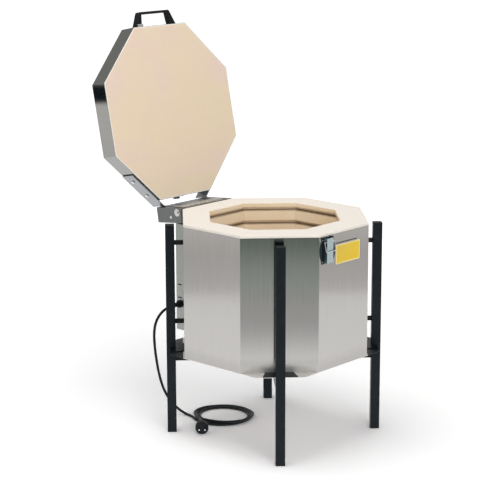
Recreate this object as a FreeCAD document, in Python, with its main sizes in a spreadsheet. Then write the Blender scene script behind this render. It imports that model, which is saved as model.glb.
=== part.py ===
"""Eight-sided top-loading ceramic kiln, as a parametric model (millimetres, +Z up).

The origin is on the floor, on the vertical axis of the casing. The latch and the handle face
-Y, the hinge faces +Y, and a leg stands at each diagonal. The lid is modelled closed and then
turned about the hinge rod to the open pose, in which it leans back on its stop.
"""
import FreeCAD, Part
import math
import os

import Sketcher

VECTOR = FreeCAD.Vector

# Driving dimensions, in millimetres and degrees

SIZES = {
    "casing_across": 590.0,
    "casing_base": 287.0,
    "casing_height": 433.0,
    "jacket_sheet": 1.0,
    "backing_thick": 11.0,
    "brick_thick": 76.0,
    "rim_lip": 8.0,
    "rim_chamfer": 2.0,
    "floor_board_thick": 25.0,
    "floor_brick_thick": 76.0,
    "groove_count": 7.0,
    "groove_high": 14.0,
    "groove_deep": 15.0,
    "groove_first": 14.0,
    "groove_foot": 4.0,
    "groove_slope": 3.0,
    "element_coil": 10.0,
    "element_chamfer": 3.0,
    "element_gap": 0.3,
    "bushing_rad": 5.0,
    "bushing_bore": 1.5,
    "bushing_offset": 25.0,
    "bushing_end": 5.0,
    "sensor_rad": 4.0,
    "sensor_reach": 25.0,
    "sensor_head_rad": 9.0,
    "sensor_head_long": 12.0,
    "fit_gap": 0.1,
    "move_gap": 0.3,
    "leg_width": 30.0,
    "leg_wall": 2.0,
    "leg_corner": 2.0,
    "leg_height": 703.0,
    "leg_gap": 28.0,
    "cap_thick": 3.0,
    "cap_plug": 15.0,
    "cap_chamfer": 1.0,
    "foot_thick": 3.0,
    "spacer_rad": 8.0,
    "spacer_drop": 60.0,
    "spacer_rise": 92.0,
    "leg_bolt_rad": 4.0,
    "leg_bolt_head": 7.5,
    "leg_bolt_head_thick": 4.0,
    "leg_nut_rad": 6.5,
    "leg_nut_thick": 5.0,
    "leg_bolt_end": 2.0,
    "pan_sheet": 1.5,
    "pan_reach": 18.0,
    "gusset_thick": 3.0,
    "gusset_inner": 88.0,
    "gusset_outer": 110.0,
    "base_tube_wide": 30.0,
    "base_tube_high": 38.0,
    "base_tube_wall": 2.0,
    "box_side": 2.0,
    "box_deep": 35.0,
    "box_rise": 23.0,
    "box_upper_high": 58.0,
    "box_below_console": 5.0,
    "box_sheet": 1.2,
    "box_back_sheet": 1.5,
    "box_post_rad": 4.0,
    "box_post_inset": 12.0,
    "box_slot_count": 6.0,
    "box_slot_pitch": 16.0,
    "box_slot_wide": 80.0,
    "box_slot_high": 5.0,
    "box_slot_rise": 40.0,
    "side_slot_high": 4.0,
    "side_slot_margin": 8.0,
    "side_slot_low": 35.0,
    "side_slot_middle": 110.0,
    "side_slot_upper": 155.0,
    "box_screw_rad": 2.0,
    "box_screw_head": 4.0,
    "box_screw_head_thick": 2.5,
    "block_half": 50.0,
    "block_high": 24.0,
    "block_deep": 20.0,
    "block_rise": 70.0,
    "block_bore_rad": 4.0,
    "block_bore_deep": 12.0,
    "block_bore_pitch": 16.0,
    "gland_rise": 90.0,
    "gland_hex_rad": 13.0,
    "gland_hex_long": 6.0,
    "gland_thread_rad": 10.0,
    "gland_nut_long": 5.0,
    "gland_relief_long": 24.0,
    "gland_relief_rad": 9.0,
    "gland_tip_rad": 6.3,
    "cord_rad": 4.5,
    "console_side": 23.0,
    "console_sheet": 1.5,
    "console_gap": 5.0,
    "console_front_high": 49.0,
    "console_deep_low": 109.0,
    "console_deep_top": 117.0,
    "console_back_low": 62.0,
    "console_back_drop": 11.0,
    "arm_slot_gap": 2.0,
    "arm_slot_front": 3.0,
    "arm_slot_back": 9.0,
    "console_cut_above": 5.0,
    "console_cut_rest": 12.0,
    "louvre_front": 14.0,
    "louvre_margin": 11.0,
    "louvre_wide": 6.0,
    "louvre_long": 80.0,
    "louvre_count": 8.0,
    "bracket_side": 17.0,
    "bracket_bolt_in": 25.0,
    "bracket_bolt_drop": 25.0,
    "bolt_rad": 4.0,
    "bolt_head_rad": 6.5,
    "bolt_head_thick": 4.0,
    "cheek_bolt_in": 19.0,
    "cheek_bolt_drop": 16.0,
    "cheek_bolt_long": 8.0,
    "cheek_washer_rad": 12.5,
    "cheek_washer_thick": 2.0,
    "hinge_stand": 55.0,
    "hinge_drop": 36.0,
    "hinge_rod_rad": 5.0,
    "hinge_fit": 0.05,
    "sleeve_rad": 8.0,
    "lid_open_angle": 101.5,
    "lid_seat_gap": 0.3,
    "lid_inset": 5.0,
    "lid_thick": 60.0,
    "lid_sheet": 1.0,
    "lid_wrap": 1.0,
    "lid_brick_proud": 1.0,
    "arm_thick": 4.0,
    "arm_bend": 36.88,
    "arm_low": 8.0,
    "arm_high": 59.0,
    "arm_strap": 98.0,
    "ear_hub_rad": 15.0,
    "ear_hub_half": 14.1,
    "ear_round": 13.5,
    "ear_neck": 14.0,
    "arm_cut": 60.0,
    "arm_bolt_rad": 3.0,
    "arm_bolt_head": 5.5,
    "arm_bolt_head_thick": 3.0,
    "arm_bolt_first": 10.0,
    "arm_bolt_pitch": 75.0,
    "handle_foot": 189.0,
    "handle_top": 140.0,
    "handle_high": 50.0,
    "handle_foot_thick": 28.0,
    "handle_top_thick": 9.0,
    "handle_grip": 8.0,
    "handle_near": 17.0,
    "handle_deep": 20.0,
    "handle_round": 2.5,
    "handle_corner": 7.5,
    "handle_screw_rad": 2.5,
    "handle_screw_head": 5.0,
    "handle_screw_long": 16.0,
    "handle_screw_head_thick": 2.0,
    "keeper_half": 11.0,
    "keeper_low": 1.0,
    "keeper_high": 11.0,
    "keeper_sheet": 1.5,
    "keeper_hook": 9.0,
    "keeper_lip": 2.0,
    "keeper_tip": 6.0,
    "clamp_x": -18.0,
    "clamp_low": 20.0,
    "clamp_high": 40.0,
    "clamp_lug": 9.0,
    "clamp_screw_out": 5.4,
    "clamp_screw_long": 18.0,
    "clamp_long": 24.0,
    "clamp_space": 8.0,
    "clamp_sheet": 2.0,
    "latch_x": -85.0,
    "latch_half": 27.0,
    "latch_drop": 4.0,
    "latch_high": 84.0,
    "latch_sheet": 1.5,
    "latch_cheek": 19.0,
    "latch_cheek_out": 15.0,
    "latch_ear": 4.0,
    "latch_screw_inset": 8.0,
    "latch_screw_edge": 3.0,
    "latch_screw_rad": 2.4,
    "latch_screw_head": 1.6,
    "lever_half": 15.0,
    "lever_sheet": 1.5,
    "lever_stand": 11.5,
    "lever_rise": 3.0,
    "lever_head": 4.0,
    "lever_flange_in": 2.5,
    "lever_flange_long": 17.0,
    "lever_hole_rad": 3.0,
    "lever_hole_pitch": 15.0,
    "lever_hole_first": 27.0,
    "lever_pin_drop": 6.5,
    "lever_pin_stand": 7.0,
    "lever_pin_rad": 2.0,
    "bail_half": 23.0,
    "bail_wire": 1.5,
    "bail_bend": 3.75,
    "bail_pin_drop": 7.0,
    "bail_pin_ahead": 2.5,
    "bail_lean": 7.5,
    "bail_long": 29.8,
    "plug_rad": 22.0,
    "plug_body_long": 26.0,
    "plug_neck_rad": 8.0,
    "plug_long": 52.0,
    "plug_edge": 2.0,
    "plug_shoulder": 8.0,
    "plug_sleeve": 1.0,
    "plug_face": 20.0,
    "plug_pin_rad": 2.4,
    "plug_pin_long": 19.0,
    "plug_pin_gap": 19.0,
    "plug_x": -187.0,
    "plug_y": 152.0,
    "coil_x": -22.0,
    "coil_y": 210.0,
    "coil_outer": 108.0,
    "coil_inner": 74.0,
    "coil_high": 20.0,
}

FACETS = 8
EXPORTED = []

document = FreeCAD.newDocument("ceramic_kiln")
sheet = document.addObject("Spreadsheet::Sheet", "Sizes")
for row, (alias, number) in enumerate(SIZES.items(), start=1):
    sheet.set(f"A{row}", alias)
    sheet.set(f"B{row}", str(number))
    sheet.setAlias(f"B{row}", alias)
document.recompute()


def size(name):
    """The expression that reads one cell of the sheet."""
    return f"Sizes.{name}"


def value(expression):
    """The number that an expression on the sheet gives now."""
    result = sheet.evalExpression(str(expression))
    return float(getattr(result, "Value", result))


# Expressions that several pieces share

FLAT = "(Sizes.casing_across / 2)"
RIM = "(Sizes.casing_base + Sizes.casing_height + Sizes.rim_lip)"
BOARD_OUT = f"({FLAT} - Sizes.jacket_sheet)"
BRICK_OUT = f"({BOARD_OUT} - Sizes.backing_thick)"
CHAMBER = f"({BRICK_OUT} - Sizes.brick_thick)"
CHAMBER_FLOOR = "(Sizes.casing_base + Sizes.floor_board_thick + Sizes.floor_brick_thick)"
LEG_IN = f"({FLAT} + Sizes.leg_gap)"
LEG_AXIS = f"({LEG_IN} + Sizes.leg_width / 2)"
GROOVE_PITCH = (f"(({RIM} - {CHAMBER_FLOOR} - Sizes.groove_first - Sizes.groove_foot)"
                " / Sizes.groove_count)")
PAN_CORNER = f"({LEG_IN} + Sizes.pan_reach)"
SPACER_LEVELS = {"upper": "(Sizes.leg_height - Sizes.spacer_drop)",
                 "lower": "(Sizes.casing_base + Sizes.spacer_rise)"}
LID_BAND = f"({FLAT} - Sizes.lid_inset)"
LID_BRICK = f"({LID_BAND} - Sizes.lid_sheet - Sizes.lid_wrap)"
LID_FACE = f"({RIM} + Sizes.lid_seat_gap)"
BOX_BACK = f"({FLAT} + Sizes.box_back_sheet)"
BOX_OUT = f"({FLAT} + Sizes.box_deep)"
BOX_MID = f"({BOX_BACK} / 2 + {BOX_OUT} / 2)"
CONSOLE_FRONT = f"({FLAT} + Sizes.console_gap)"
CONSOLE_FRONT_BASE = f"({RIM} - Sizes.console_front_high)"
CONSOLE_BACK_BASE_Y = f"({CONSOLE_FRONT} + Sizes.console_deep_low)"
CONSOLE_BACK_BASE = f"({RIM} - Sizes.console_back_low)"
CONSOLE_BACK_TOP_Y = f"({CONSOLE_FRONT} + Sizes.console_deep_top)"
CONSOLE_BACK_TOP = f"({RIM} - Sizes.console_back_drop)"
BRACKET_BOLT_Z = f"({RIM} - Sizes.bracket_bolt_drop)"
CHEEK_BOLT_Y = f"({CONSOLE_FRONT} + Sizes.cheek_bolt_in)"
CHEEK_BOLT_Z = f"({RIM} - Sizes.cheek_bolt_drop)"
HINGE_Y = f"({FLAT} + Sizes.hinge_stand)"
HINGE_Z = f"({RIM} - Sizes.hinge_drop)"
ARM_START = f"({LID_BAND} - Sizes.arm_strap)"
ARM_PLANE = f"({LID_BAND} * sqrt(2) - {HINGE_Y} + Sizes.arm_bend + Sizes.arm_thick / 2)"
CONSOLE_HALF = f"({ARM_PLANE} + Sizes.console_side)"
LOUVRE_PITCH = f"(2 * ({ARM_PLANE} - Sizes.louvre_margin) / Sizes.louvre_count)"
BRACKET_HALF = f"({CONSOLE_HALF} - Sizes.bracket_side)"
BRACKET_BOLT_X = f"({BRACKET_HALF} - Sizes.bracket_bolt_in)"
BOX_HALF = f"({CONSOLE_HALF} - Sizes.box_side)"
BOX_BASE = "(Sizes.casing_base + Sizes.box_rise)"
BOX_TOP = f"({CONSOLE_FRONT_BASE} - Sizes.box_below_console)"
BOX_SEAM = f"({BOX_TOP} - Sizes.box_upper_high)"
BOX_SLOT_FIRST = f"({BOX_BASE} + Sizes.box_slot_rise)"
BLOCK_BASE = f"({BOX_BASE} + Sizes.block_rise)"
GLAND_LEVEL = f"({BOX_BASE} + Sizes.gland_rise)"
LATCH_TOP = "(Sizes.casing_base + Sizes.casing_height - Sizes.latch_drop)"
LATCH_BASE = f"({LATCH_TOP} - Sizes.latch_high)"
LEVER_LOW = f"({LATCH_BASE} + Sizes.lever_rise)"
LEVER_PIN_Y = f"({FLAT} + Sizes.lever_pin_stand)"
LEVER_PIN_Z = f"({LATCH_TOP} - Sizes.lever_pin_drop)"
LEVER_TOP = f"({LEVER_PIN_Z} + Sizes.lever_head)"
BAIL_PIN_Y = f"({LEVER_PIN_Y} + Sizes.bail_pin_ahead)"
BAIL_PIN_Z = f"({LEVER_PIN_Z} - Sizes.bail_pin_drop)"
BAIL_BAR_Y = f"({BAIL_PIN_Y} + Sizes.bail_lean)"
BAIL_BAR_Z = f"({BAIL_PIN_Z} - Sizes.bail_long)"


# Small helpers for bodies, sketches and features

def turned(degrees, axis=VECTOR(0, 0, 1), centre=VECTOR(0, 0, 0)):
    """A placement that turns a piece about an axis through a centre."""
    return FreeCAD.Placement(VECTOR(0, 0, 0), FreeCAD.Rotation(axis, degrees), centre)


def new_body(label, placement=None, export=True):
    """A body with a label; an exported one becomes a piece of its own."""
    body = document.addObject("PartDesign::Body", label)
    body.Label = label
    if placement is not None:
        body.Placement = placement
    if export:
        EXPORTED.append(body)
    return body


def origin_plane(body, role):
    """One of the body's own origin planes."""
    return next(item for item in body.Origin.OriginFeatures if item.Role == role)


def bind_point(sketch, geometry, position, place):
    """Tie a sketch point to a pair of expressions."""
    for kind, expression in zip(("DistanceX", "DistanceY"), place):
        number = value(expression)
        index = sketch.addConstraint(
            Sketcher.Constraint(kind, -1, 1, geometry, position, number))
        sketch.setExpression(f"Constraints[{index}]", str(expression))


def add_polygon(sketch, corners):
    """A closed polygon whose corners are pairs of expressions."""
    first = sketch.GeometryCount
    places = [VECTOR(value(x), value(y), 0) for x, y in corners]
    count = len(places)
    for index in range(count):
        line = Part.LineSegment(places[index], places[(index + 1) % count])
        sketch.addGeometry(line, False)
    for index in range(count):
        after = first + (index + 1) % count
        sketch.addConstraint(Sketcher.Constraint("Coincident", first + index, 2, after, 1))
    for index, place in enumerate(corners):
        bind_point(sketch, first + index, 1, place)


def add_circle(sketch, x, y, radius):
    """A circle whose centre and radius are expressions."""
    index = sketch.GeometryCount
    centre = VECTOR(value(x), value(y), 0)
    sketch.addGeometry(Part.Circle(centre, VECTOR(0, 0, 1), value(radius)), False)
    bind_point(sketch, index, 3, (x, y))
    tied = sketch.addConstraint(Sketcher.Constraint("Radius", index, value(radius)))
    sketch.setExpression(f"Constraints[{tied}]", str(radius))


def new_sketch(body, plane, loops, offset="0", turn=0.0):
    """A sketch on an origin plane: polygons are lists of corners, circles are triples."""
    sketch = body.newObject("Sketcher::SketchObject", body.Label + "_sketch")
    sketch.AttachmentSupport = [(origin_plane(body, plane + "_Plane"), "")]
    sketch.MapMode = "FlatFace"
    if turn:
        rotation = FreeCAD.Rotation(VECTOR(0, 1, 0), turn)
        sketch.AttachmentOffset = FreeCAD.Placement(VECTOR(0, 0, 0), rotation)
    else:
        sketch.setExpression("AttachmentOffset.Base.z", str(offset))
    for loop in loops:
        if isinstance(loop, tuple):
            add_circle(sketch, *loop)
        else:
            add_polygon(sketch, loop)
    return sketch


def pad(body, plane, loops, length, offset="0", midplane=False, reverse=False):
    """Pad a sketch along the plane's normal."""
    sketch = new_sketch(body, plane, loops, offset)
    feature = body.newObject("PartDesign::Pad", body.Label + "_pad")
    feature.Profile = sketch
    feature.setExpression("Length", str(length))
    feature.Midplane = midplane
    feature.Reversed = reverse
    return feature


def pocket(body, plane, loops, length=None, offset="0", midplane=False, reverse=False,
           turn=0.0):
    """Cut a sketch out of the body; without a length the cut goes right through."""
    sketch = new_sketch(body, plane, loops, offset, turn)
    feature = body.newObject("PartDesign::Pocket", body.Label + "_pocket")
    feature.Profile = sketch
    feature.Midplane = midplane
    feature.Reversed = reverse
    if length is None:
        feature.Type = "ThroughAll"
    else:
        feature.setExpression("Length", str(length))
    return feature


def revolve(body, plane, loops, axis, offset="0"):
    """Turn a profile all the way round one of the body's own axes or its sketch's axis."""
    sketch = new_sketch(body, plane, loops, offset)
    feature = body.newObject("PartDesign::Revolution", body.Label + "_turned")
    feature.Profile = sketch
    feature.ReferenceAxis = (sketch, [axis])
    feature.Angle = 360.0
    return feature


def repeat(body, feature, role, length, count):
    """Repeat a feature along one of the body's own axes."""
    pattern = body.newObject("PartDesign::LinearPattern", body.Label + "_row")
    pattern.Originals = [feature]
    pattern.Direction = (origin_plane(body, role), [""])
    pattern.setExpression("Length", str(length))
    pattern.setExpression("Occurrences", str(count))
    body.Tip = pattern
    return pattern


def dress(body, kind, name, expression, wanted):
    """Fillet or chamfer the edges of the body's tip whose ends and middle pass a test."""
    document.recompute()
    base = body.Tip
    names = []
    for index, edge in enumerate(base.Shape.Edges, start=1):
        ends = [vertex.Point for vertex in edge.Vertexes]
        if len(ends) == 2 and wanted(ends[0], ends[1]):
            names.append(f"Edge{index}")
    feature = body.newObject(f"PartDesign::{kind}", body.Label + "_" + kind.lower())
    feature.Base = (base, names)
    feature.setExpression(name, str(expression))
    return feature


def group(label, members):
    """One piece made of several separate solids: each member is a body and its placements."""
    links = []
    for body, placements in members:
        for placement in placements:
            link = document.addObject("App::Link", label + "_copy")
            link.LinkedObject = body
            link.Placement = placement
            links.append(link)
    compound = document.addObject("Part::Compound", label)
    compound.Label = label
    compound.Links = links
    EXPORTED.append(compound)
    return compound


def octagon(apothem):
    """The corners of an octagon whose flats stand at this distance from the centre."""
    half = f"({apothem} * tan(22.5))"
    corners = [(apothem, f"-{half}"), (apothem, half)]
    for _ in range(3):
        corners += [(f"-{y}", x) for x, y in corners[-2:]]
    return [(x.replace("--", ""), y.replace("--", "")) for x, y in corners]


def trapezoid(inner, outer):
    """The plan of one mitred facet of the wall, between two distances from the axis."""
    return [
        (f"-{inner} * tan(22.5)", f"-{inner}"),
        (f"{inner} * tan(22.5)", f"-{inner}"),
        (f"{outer} * tan(22.5)", f"-{outer}"),
        (f"-{outer} * tan(22.5)", f"-{outer}"),
    ]


def rectangle(x_low, x_high, y_low, y_high):
    """The corners of a rectangle."""
    return [(x_low, y_low), (x_high, y_low), (x_high, y_high), (x_low, y_high)]


def centred(half, y_low, y_high):
    """A rectangle centred on the sketch's vertical axis."""
    return rectangle(f"-({half})", f"({half})", y_low, y_high)


DIAGONALS = {"front": -45.0, "right": 45.0, "back": 135.0, "left": -135.0}
DIAGONAL_TURNS = [turned(angle) for angle in DIAGONALS.values()]
REAR_FACET = 4

def groove_top(index):
    """Height of the top edge of a groove at the chamber's face, counted from the rim."""
    return f"({RIM} - Sizes.groove_first - {index} * {GROOVE_PITCH})"


def groove_middle(index):
    """Height of the middle of an element in its groove."""
    return f"({groove_top(index)} - Sizes.groove_high / 2 - Sizes.groove_slope / 2)"


# Element ends and sensor, on the rear wall: height and side of each lead
LEADS = [
    (groove_middle(1), "-Sizes.bushing_offset"),
    (groove_middle(1), "Sizes.bushing_offset"),
    (groove_middle(3), "-Sizes.bushing_offset"),
    (groove_middle(4), "Sizes.bushing_offset"),
    (groove_middle(5), "-Sizes.bushing_offset"),
    (groove_middle(6), "Sizes.bushing_offset"),
]
SENSOR_LEVEL = f"({groove_top(2)} / 2 + {groove_top(3)} / 2 - Sizes.groove_high / 2)"


def rear_holes(mirror):
    """The holes that the bushings and the sensor pass through, as circles on XZ."""
    sign = "-" if mirror else ""
    holes = [(f"{sign}({x})", z, "Sizes.bushing_rad + Sizes.fit_gap") for z, x in LEADS]
    holes.append(("0", SENSOR_LEVEL, "Sizes.sensor_rad + Sizes.fit_gap"))
    return holes


# Casing

def build_casing():
    """Jacket, insulation boards, grooved wall bricks and the chamber floor."""
    jacket = new_body("casing_jacket")
    pad(jacket, "XY", [octagon(FLAT), octagon(BOARD_OUT)], size("casing_height"),
        offset=size("casing_base"))
    bolt_holes = [("0", level, "Sizes.leg_bolt_rad + Sizes.fit_gap")
                  for level in SPACER_LEVELS.values()]
    for turn in (45.0, -45.0):
        pocket(jacket, "XZ", bolt_holes, midplane=True, turn=turn)
    pocket(jacket, "XZ", rear_holes(False))

    boards = []
    for index in range(FACETS):
        board = new_body(f"board_{index + 1}", export=False)
        pad(board, "XY", [trapezoid(BRICK_OUT, BOARD_OUT)],
            "Sizes.casing_height", offset=size("casing_base"))
        if index % 2:
            recess = [("0", level, "Sizes.leg_bolt_head + Sizes.fit_gap")
                      for level in SPACER_LEVELS.values()]
            pocket(board, "XZ", recess, "Sizes.leg_bolt_head_thick + Sizes.move_gap",
                   offset=BOARD_OUT)
        if index == REAR_FACET:
            pocket(board, "XZ", rear_holes(True), reverse=True)
        boards.append((board, [turned(45.0 * index)]))
    group("insulation_boards", boards)

    for index in range(FACETS):
        brick = new_body(f"wall_brick_{index + 1}", turned(45.0 * index))
        pad(brick, "XY", [trapezoid(CHAMBER, BRICK_OUT)], f"{RIM} - {CHAMBER_FLOOR}",
            offset=CHAMBER_FLOOR)
        pad(brick, "XY", [trapezoid(BRICK_OUT, FLAT)], size("rim_lip"),
            offset="Sizes.casing_base + Sizes.casing_height")
        rim = value(RIM)
        dress(brick, "Chamfer", "Size", size("rim_chamfer"),
              lambda start, end: min(start.z, end.z) > rim - 0.01
              and abs(start.y - end.y) < 0.01)
        inside = f"-{CHAMBER} + Sizes.groove_deep"
        back = f"-{CHAMBER} - Sizes.groove_deep"
        low = f"{groove_top(0)} - Sizes.groove_high"
        groove = pocket(brick, "YZ", [[
            (inside, f"{groove_top(0)} + Sizes.groove_slope"),
            (inside, f"{low} + Sizes.groove_slope"),
            (back, f"{low} - Sizes.groove_slope"),
            (back, f"{groove_top(0)} - Sizes.groove_slope"),
        ]], midplane=True)
        repeat(brick, groove, "Z_Axis", f"{GROOVE_PITCH} * (Sizes.groove_count - 1)",
               size("groove_count")).Reversed = True
        if index == REAR_FACET:
            pocket(brick, "XZ", rear_holes(True), reverse=True)

    board = new_body("floor_board")
    pad(board, "XY", [octagon(BRICK_OUT)], size("floor_board_thick"),
        offset=size("casing_base"))
    slab = new_body("floor_brick")
    pad(slab, "XY", [octagon(BRICK_OUT)], size("floor_brick_thick"),
        offset="Sizes.casing_base + Sizes.floor_board_thick")


def build_elements():
    """Rings of the heating coils' outer shape, bushings for their ends, and the sensor."""
    outer = f"({CHAMBER} + Sizes.groove_deep - Sizes.element_gap)"
    inner = f"({outer} - Sizes.element_coil)"
    ring = new_body("element_ring", export=False)
    pad(ring, "XY", [octagon(outer), octagon(inner)], size("element_coil"))
    dress(ring, "Chamfer", "Size", size("element_chamfer"),
          lambda start, end: abs(start.z - end.z) < 0.01)
    half = value("Sizes.element_coil / 2")
    levels = [value(groove_middle(index)) - half for index in range(int(SIZES["groove_count"]))]
    group("heating_elements",
          [(ring, [FreeCAD.Placement(VECTOR(0, 0, level), FreeCAD.Rotation())])
           for level in levels])

    bushings = []
    reach = f"{BOX_BACK} + Sizes.bushing_end"
    start = f"{outer} + Sizes.element_gap"
    for index, (level, side) in enumerate(LEADS):
        bushing = new_body(f"bushing_{index + 1}", export=False)
        pad(bushing, "XZ", [(side, level, size("bushing_rad")),
                            (side, level, size("bushing_bore"))],
            f"{reach} - ({start})", offset=f"-({reach})")
        bushings.append((bushing, [FreeCAD.Placement()]))
    group("element_bushings", bushings)

    sensor = new_body("thermocouple")
    tip = f"{CHAMBER} - Sizes.sensor_reach"
    head = f"({BOX_BACK} + Sizes.move_gap)"
    pad(sensor, "XZ", [("0", SENSOR_LEVEL, size("sensor_rad"))], f"{head} - ({tip})",
        offset=f"-{head}")
    pad(sensor, "XZ", [("0", SENSOR_LEVEL, size("sensor_head_rad"))],
        size("sensor_head_long"), offset=f"-{head}", reverse=True)


# Legs and base

def build_legs():
    """Four square tubes with glides, caps, spacers and bolts."""
    half = "Sizes.leg_width / 2"
    inner = f"{half} - Sizes.leg_wall"

    def square(reach):
        return rectangle(f"-({reach})", f"{reach}", f"-{LEG_AXIS} - ({reach})",
                         f"-{LEG_AXIS} + {reach}")

    for name, angle in DIAGONALS.items():
        leg = new_body(f"leg_{name}", turned(angle))
        pad(leg, "XY", [square(half), square(inner)],
            "Sizes.leg_height - Sizes.foot_thick - Sizes.cap_thick",
            offset=size("foot_thick"))
        reach = value(half)
        axis = -value(LEG_AXIS)
        dress(leg, "Fillet", "Radius", size("leg_corner"),
              lambda start, end: abs(start.z - end.z) > 1.0
              and abs(abs(start.x) - reach) < 0.01
              and abs(abs(start.y - axis) - reach) < 0.01)
        holes = [("0", level, "Sizes.leg_bolt_rad + Sizes.fit_gap")
                 for level in SPACER_LEVELS.values()]
        pocket(leg, "XZ", holes, size("leg_wall"), offset=LEG_IN, reverse=True)

    foot = new_body("foot", export=False)
    pad(foot, "XY", [square(half)], size("foot_thick"))
    pad(foot, "XY", [square(f"{inner} - Sizes.fit_gap")], size("cap_plug"),
        offset=size("foot_thick"))
    group("leg_feet", [(foot, DIAGONAL_TURNS)])

    cap = new_body("cap", export=False)
    low = "Sizes.leg_height - Sizes.cap_thick"
    pad(cap, "XY", [square(half)], size("cap_thick"), offset=low)
    top = value(size("leg_height"))
    dress(cap, "Chamfer", "Size", size("cap_chamfer"),
          lambda start, end: start.z > top - 0.01 and end.z > top - 0.01)
    pad(cap, "XY", [square(f"{inner} - Sizes.fit_gap")], size("cap_plug"), offset=low,
        reverse=True)
    group("leg_caps", [(cap, DIAGONAL_TURNS)])

    spacers = []
    bolts = []
    nuts = []
    for name, level in SPACER_LEVELS.items():
        spacer = new_body(f"{name}_spacer", export=False)
        pad(spacer, "XZ", [("0", level, size("spacer_rad")),
                           ("0", level, "Sizes.leg_bolt_rad + Sizes.fit_gap")],
            size("leg_gap"), offset=FLAT)
        spacers.append((spacer, DIAGONAL_TURNS))
        bolt = new_body(f"{name}_bolt", export=False)
        pad(bolt, "XZ", [("0", level, size("leg_bolt_head"))],
            size("leg_bolt_head_thick"), offset=BOARD_OUT, reverse=True)
        pad(bolt, "XZ", [("0", level, size("leg_bolt_rad"))],
            f"{LEG_IN} - {BOARD_OUT} + Sizes.leg_wall + Sizes.leg_nut_thick + Sizes.leg_bolt_end",
            offset=BOARD_OUT)
        bolts.append((bolt, DIAGONAL_TURNS))
        nut = new_body(f"{name}_nut", export=False)
        pad(nut, "XZ", [("0", level, size("leg_nut_rad")),
                        ("0", level, "Sizes.leg_bolt_rad + Sizes.fit_gap")],
            size("leg_nut_thick"), offset=f"{LEG_IN} + Sizes.leg_wall")
        nuts.append((nut, DIAGONAL_TURNS))
    group("leg_spacers", spacers)
    group("leg_bolts", bolts)
    group("leg_nuts", nuts)


def build_base():
    """Stainless pan with gusset plates on it, on a cross of square tubes."""
    notch_half = "(Sizes.leg_width / 2 + Sizes.move_gap)"
    notch_in = f"({LEG_IN} - Sizes.move_gap)"
    corner = PAN_CORNER
    cut_half = f"({FLAT} * sqrt(2) - {PAN_CORNER})"
    edge = [
        (cut_half, f"-{corner}"), (notch_half, f"-{corner}"), (notch_half, f"-{notch_in}"),
        (f"-{notch_half}", f"-{notch_in}"), (f"-{notch_half}", f"-{corner}"),
        (f"-{cut_half}", f"-{corner}"),
    ]
    corners = []
    for _ in range(4):
        corners += edge
        edge = [(y, f"-{x}".replace("--", "")) for x, y in edge]
    pan = new_body("base_pan", turned(45.0))
    pad(pan, "XY", [corners], size("pan_sheet"), offset=size("casing_base"), reverse=True)

    gusset = new_body("gusset", export=False)
    near = f"-({FLAT} + Sizes.move_gap)"
    pad(gusset, "XY", [[
        ("-Sizes.gusset_inner / 2", near), ("Sizes.gusset_inner / 2", near),
        ("Sizes.gusset_outer / 2", f"-{corner}"), (notch_half, f"-{corner}"),
        (notch_half, f"-{notch_in}"), (f"-{notch_half}", f"-{notch_in}"),
        (f"-{notch_half}", f"-{corner}"), ("-Sizes.gusset_outer / 2", f"-{corner}"),
    ]], size("gusset_thick"), offset=size("casing_base"))
    group("gusset_plates", [(gusset, DIAGONAL_TURNS)])

    top = "(Sizes.casing_base - Sizes.pan_sheet)"
    low = f"({top} - Sizes.base_tube_high)"
    wall = "Sizes.base_tube_wall"
    outside = centred("Sizes.base_tube_wide / 2", low, top)
    inside = centred(f"Sizes.base_tube_wide / 2 - {wall}", f"{low} + {wall}", f"{top} - {wall}")
    tube = new_body("base_tube_long", turned(DIAGONALS["front"]))
    pad(tube, "XZ", [outside, inside], f"2 * {LEG_IN}", midplane=True)
    for name in ("left", "right"):
        tube = new_body(f"base_tube_{name}", turned(DIAGONALS[name]))
        pad(tube, "XZ", [outside, inside], f"{LEG_IN} - Sizes.base_tube_wide / 2",
            offset=LEG_IN, reverse=True)


# Terminal box

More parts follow.
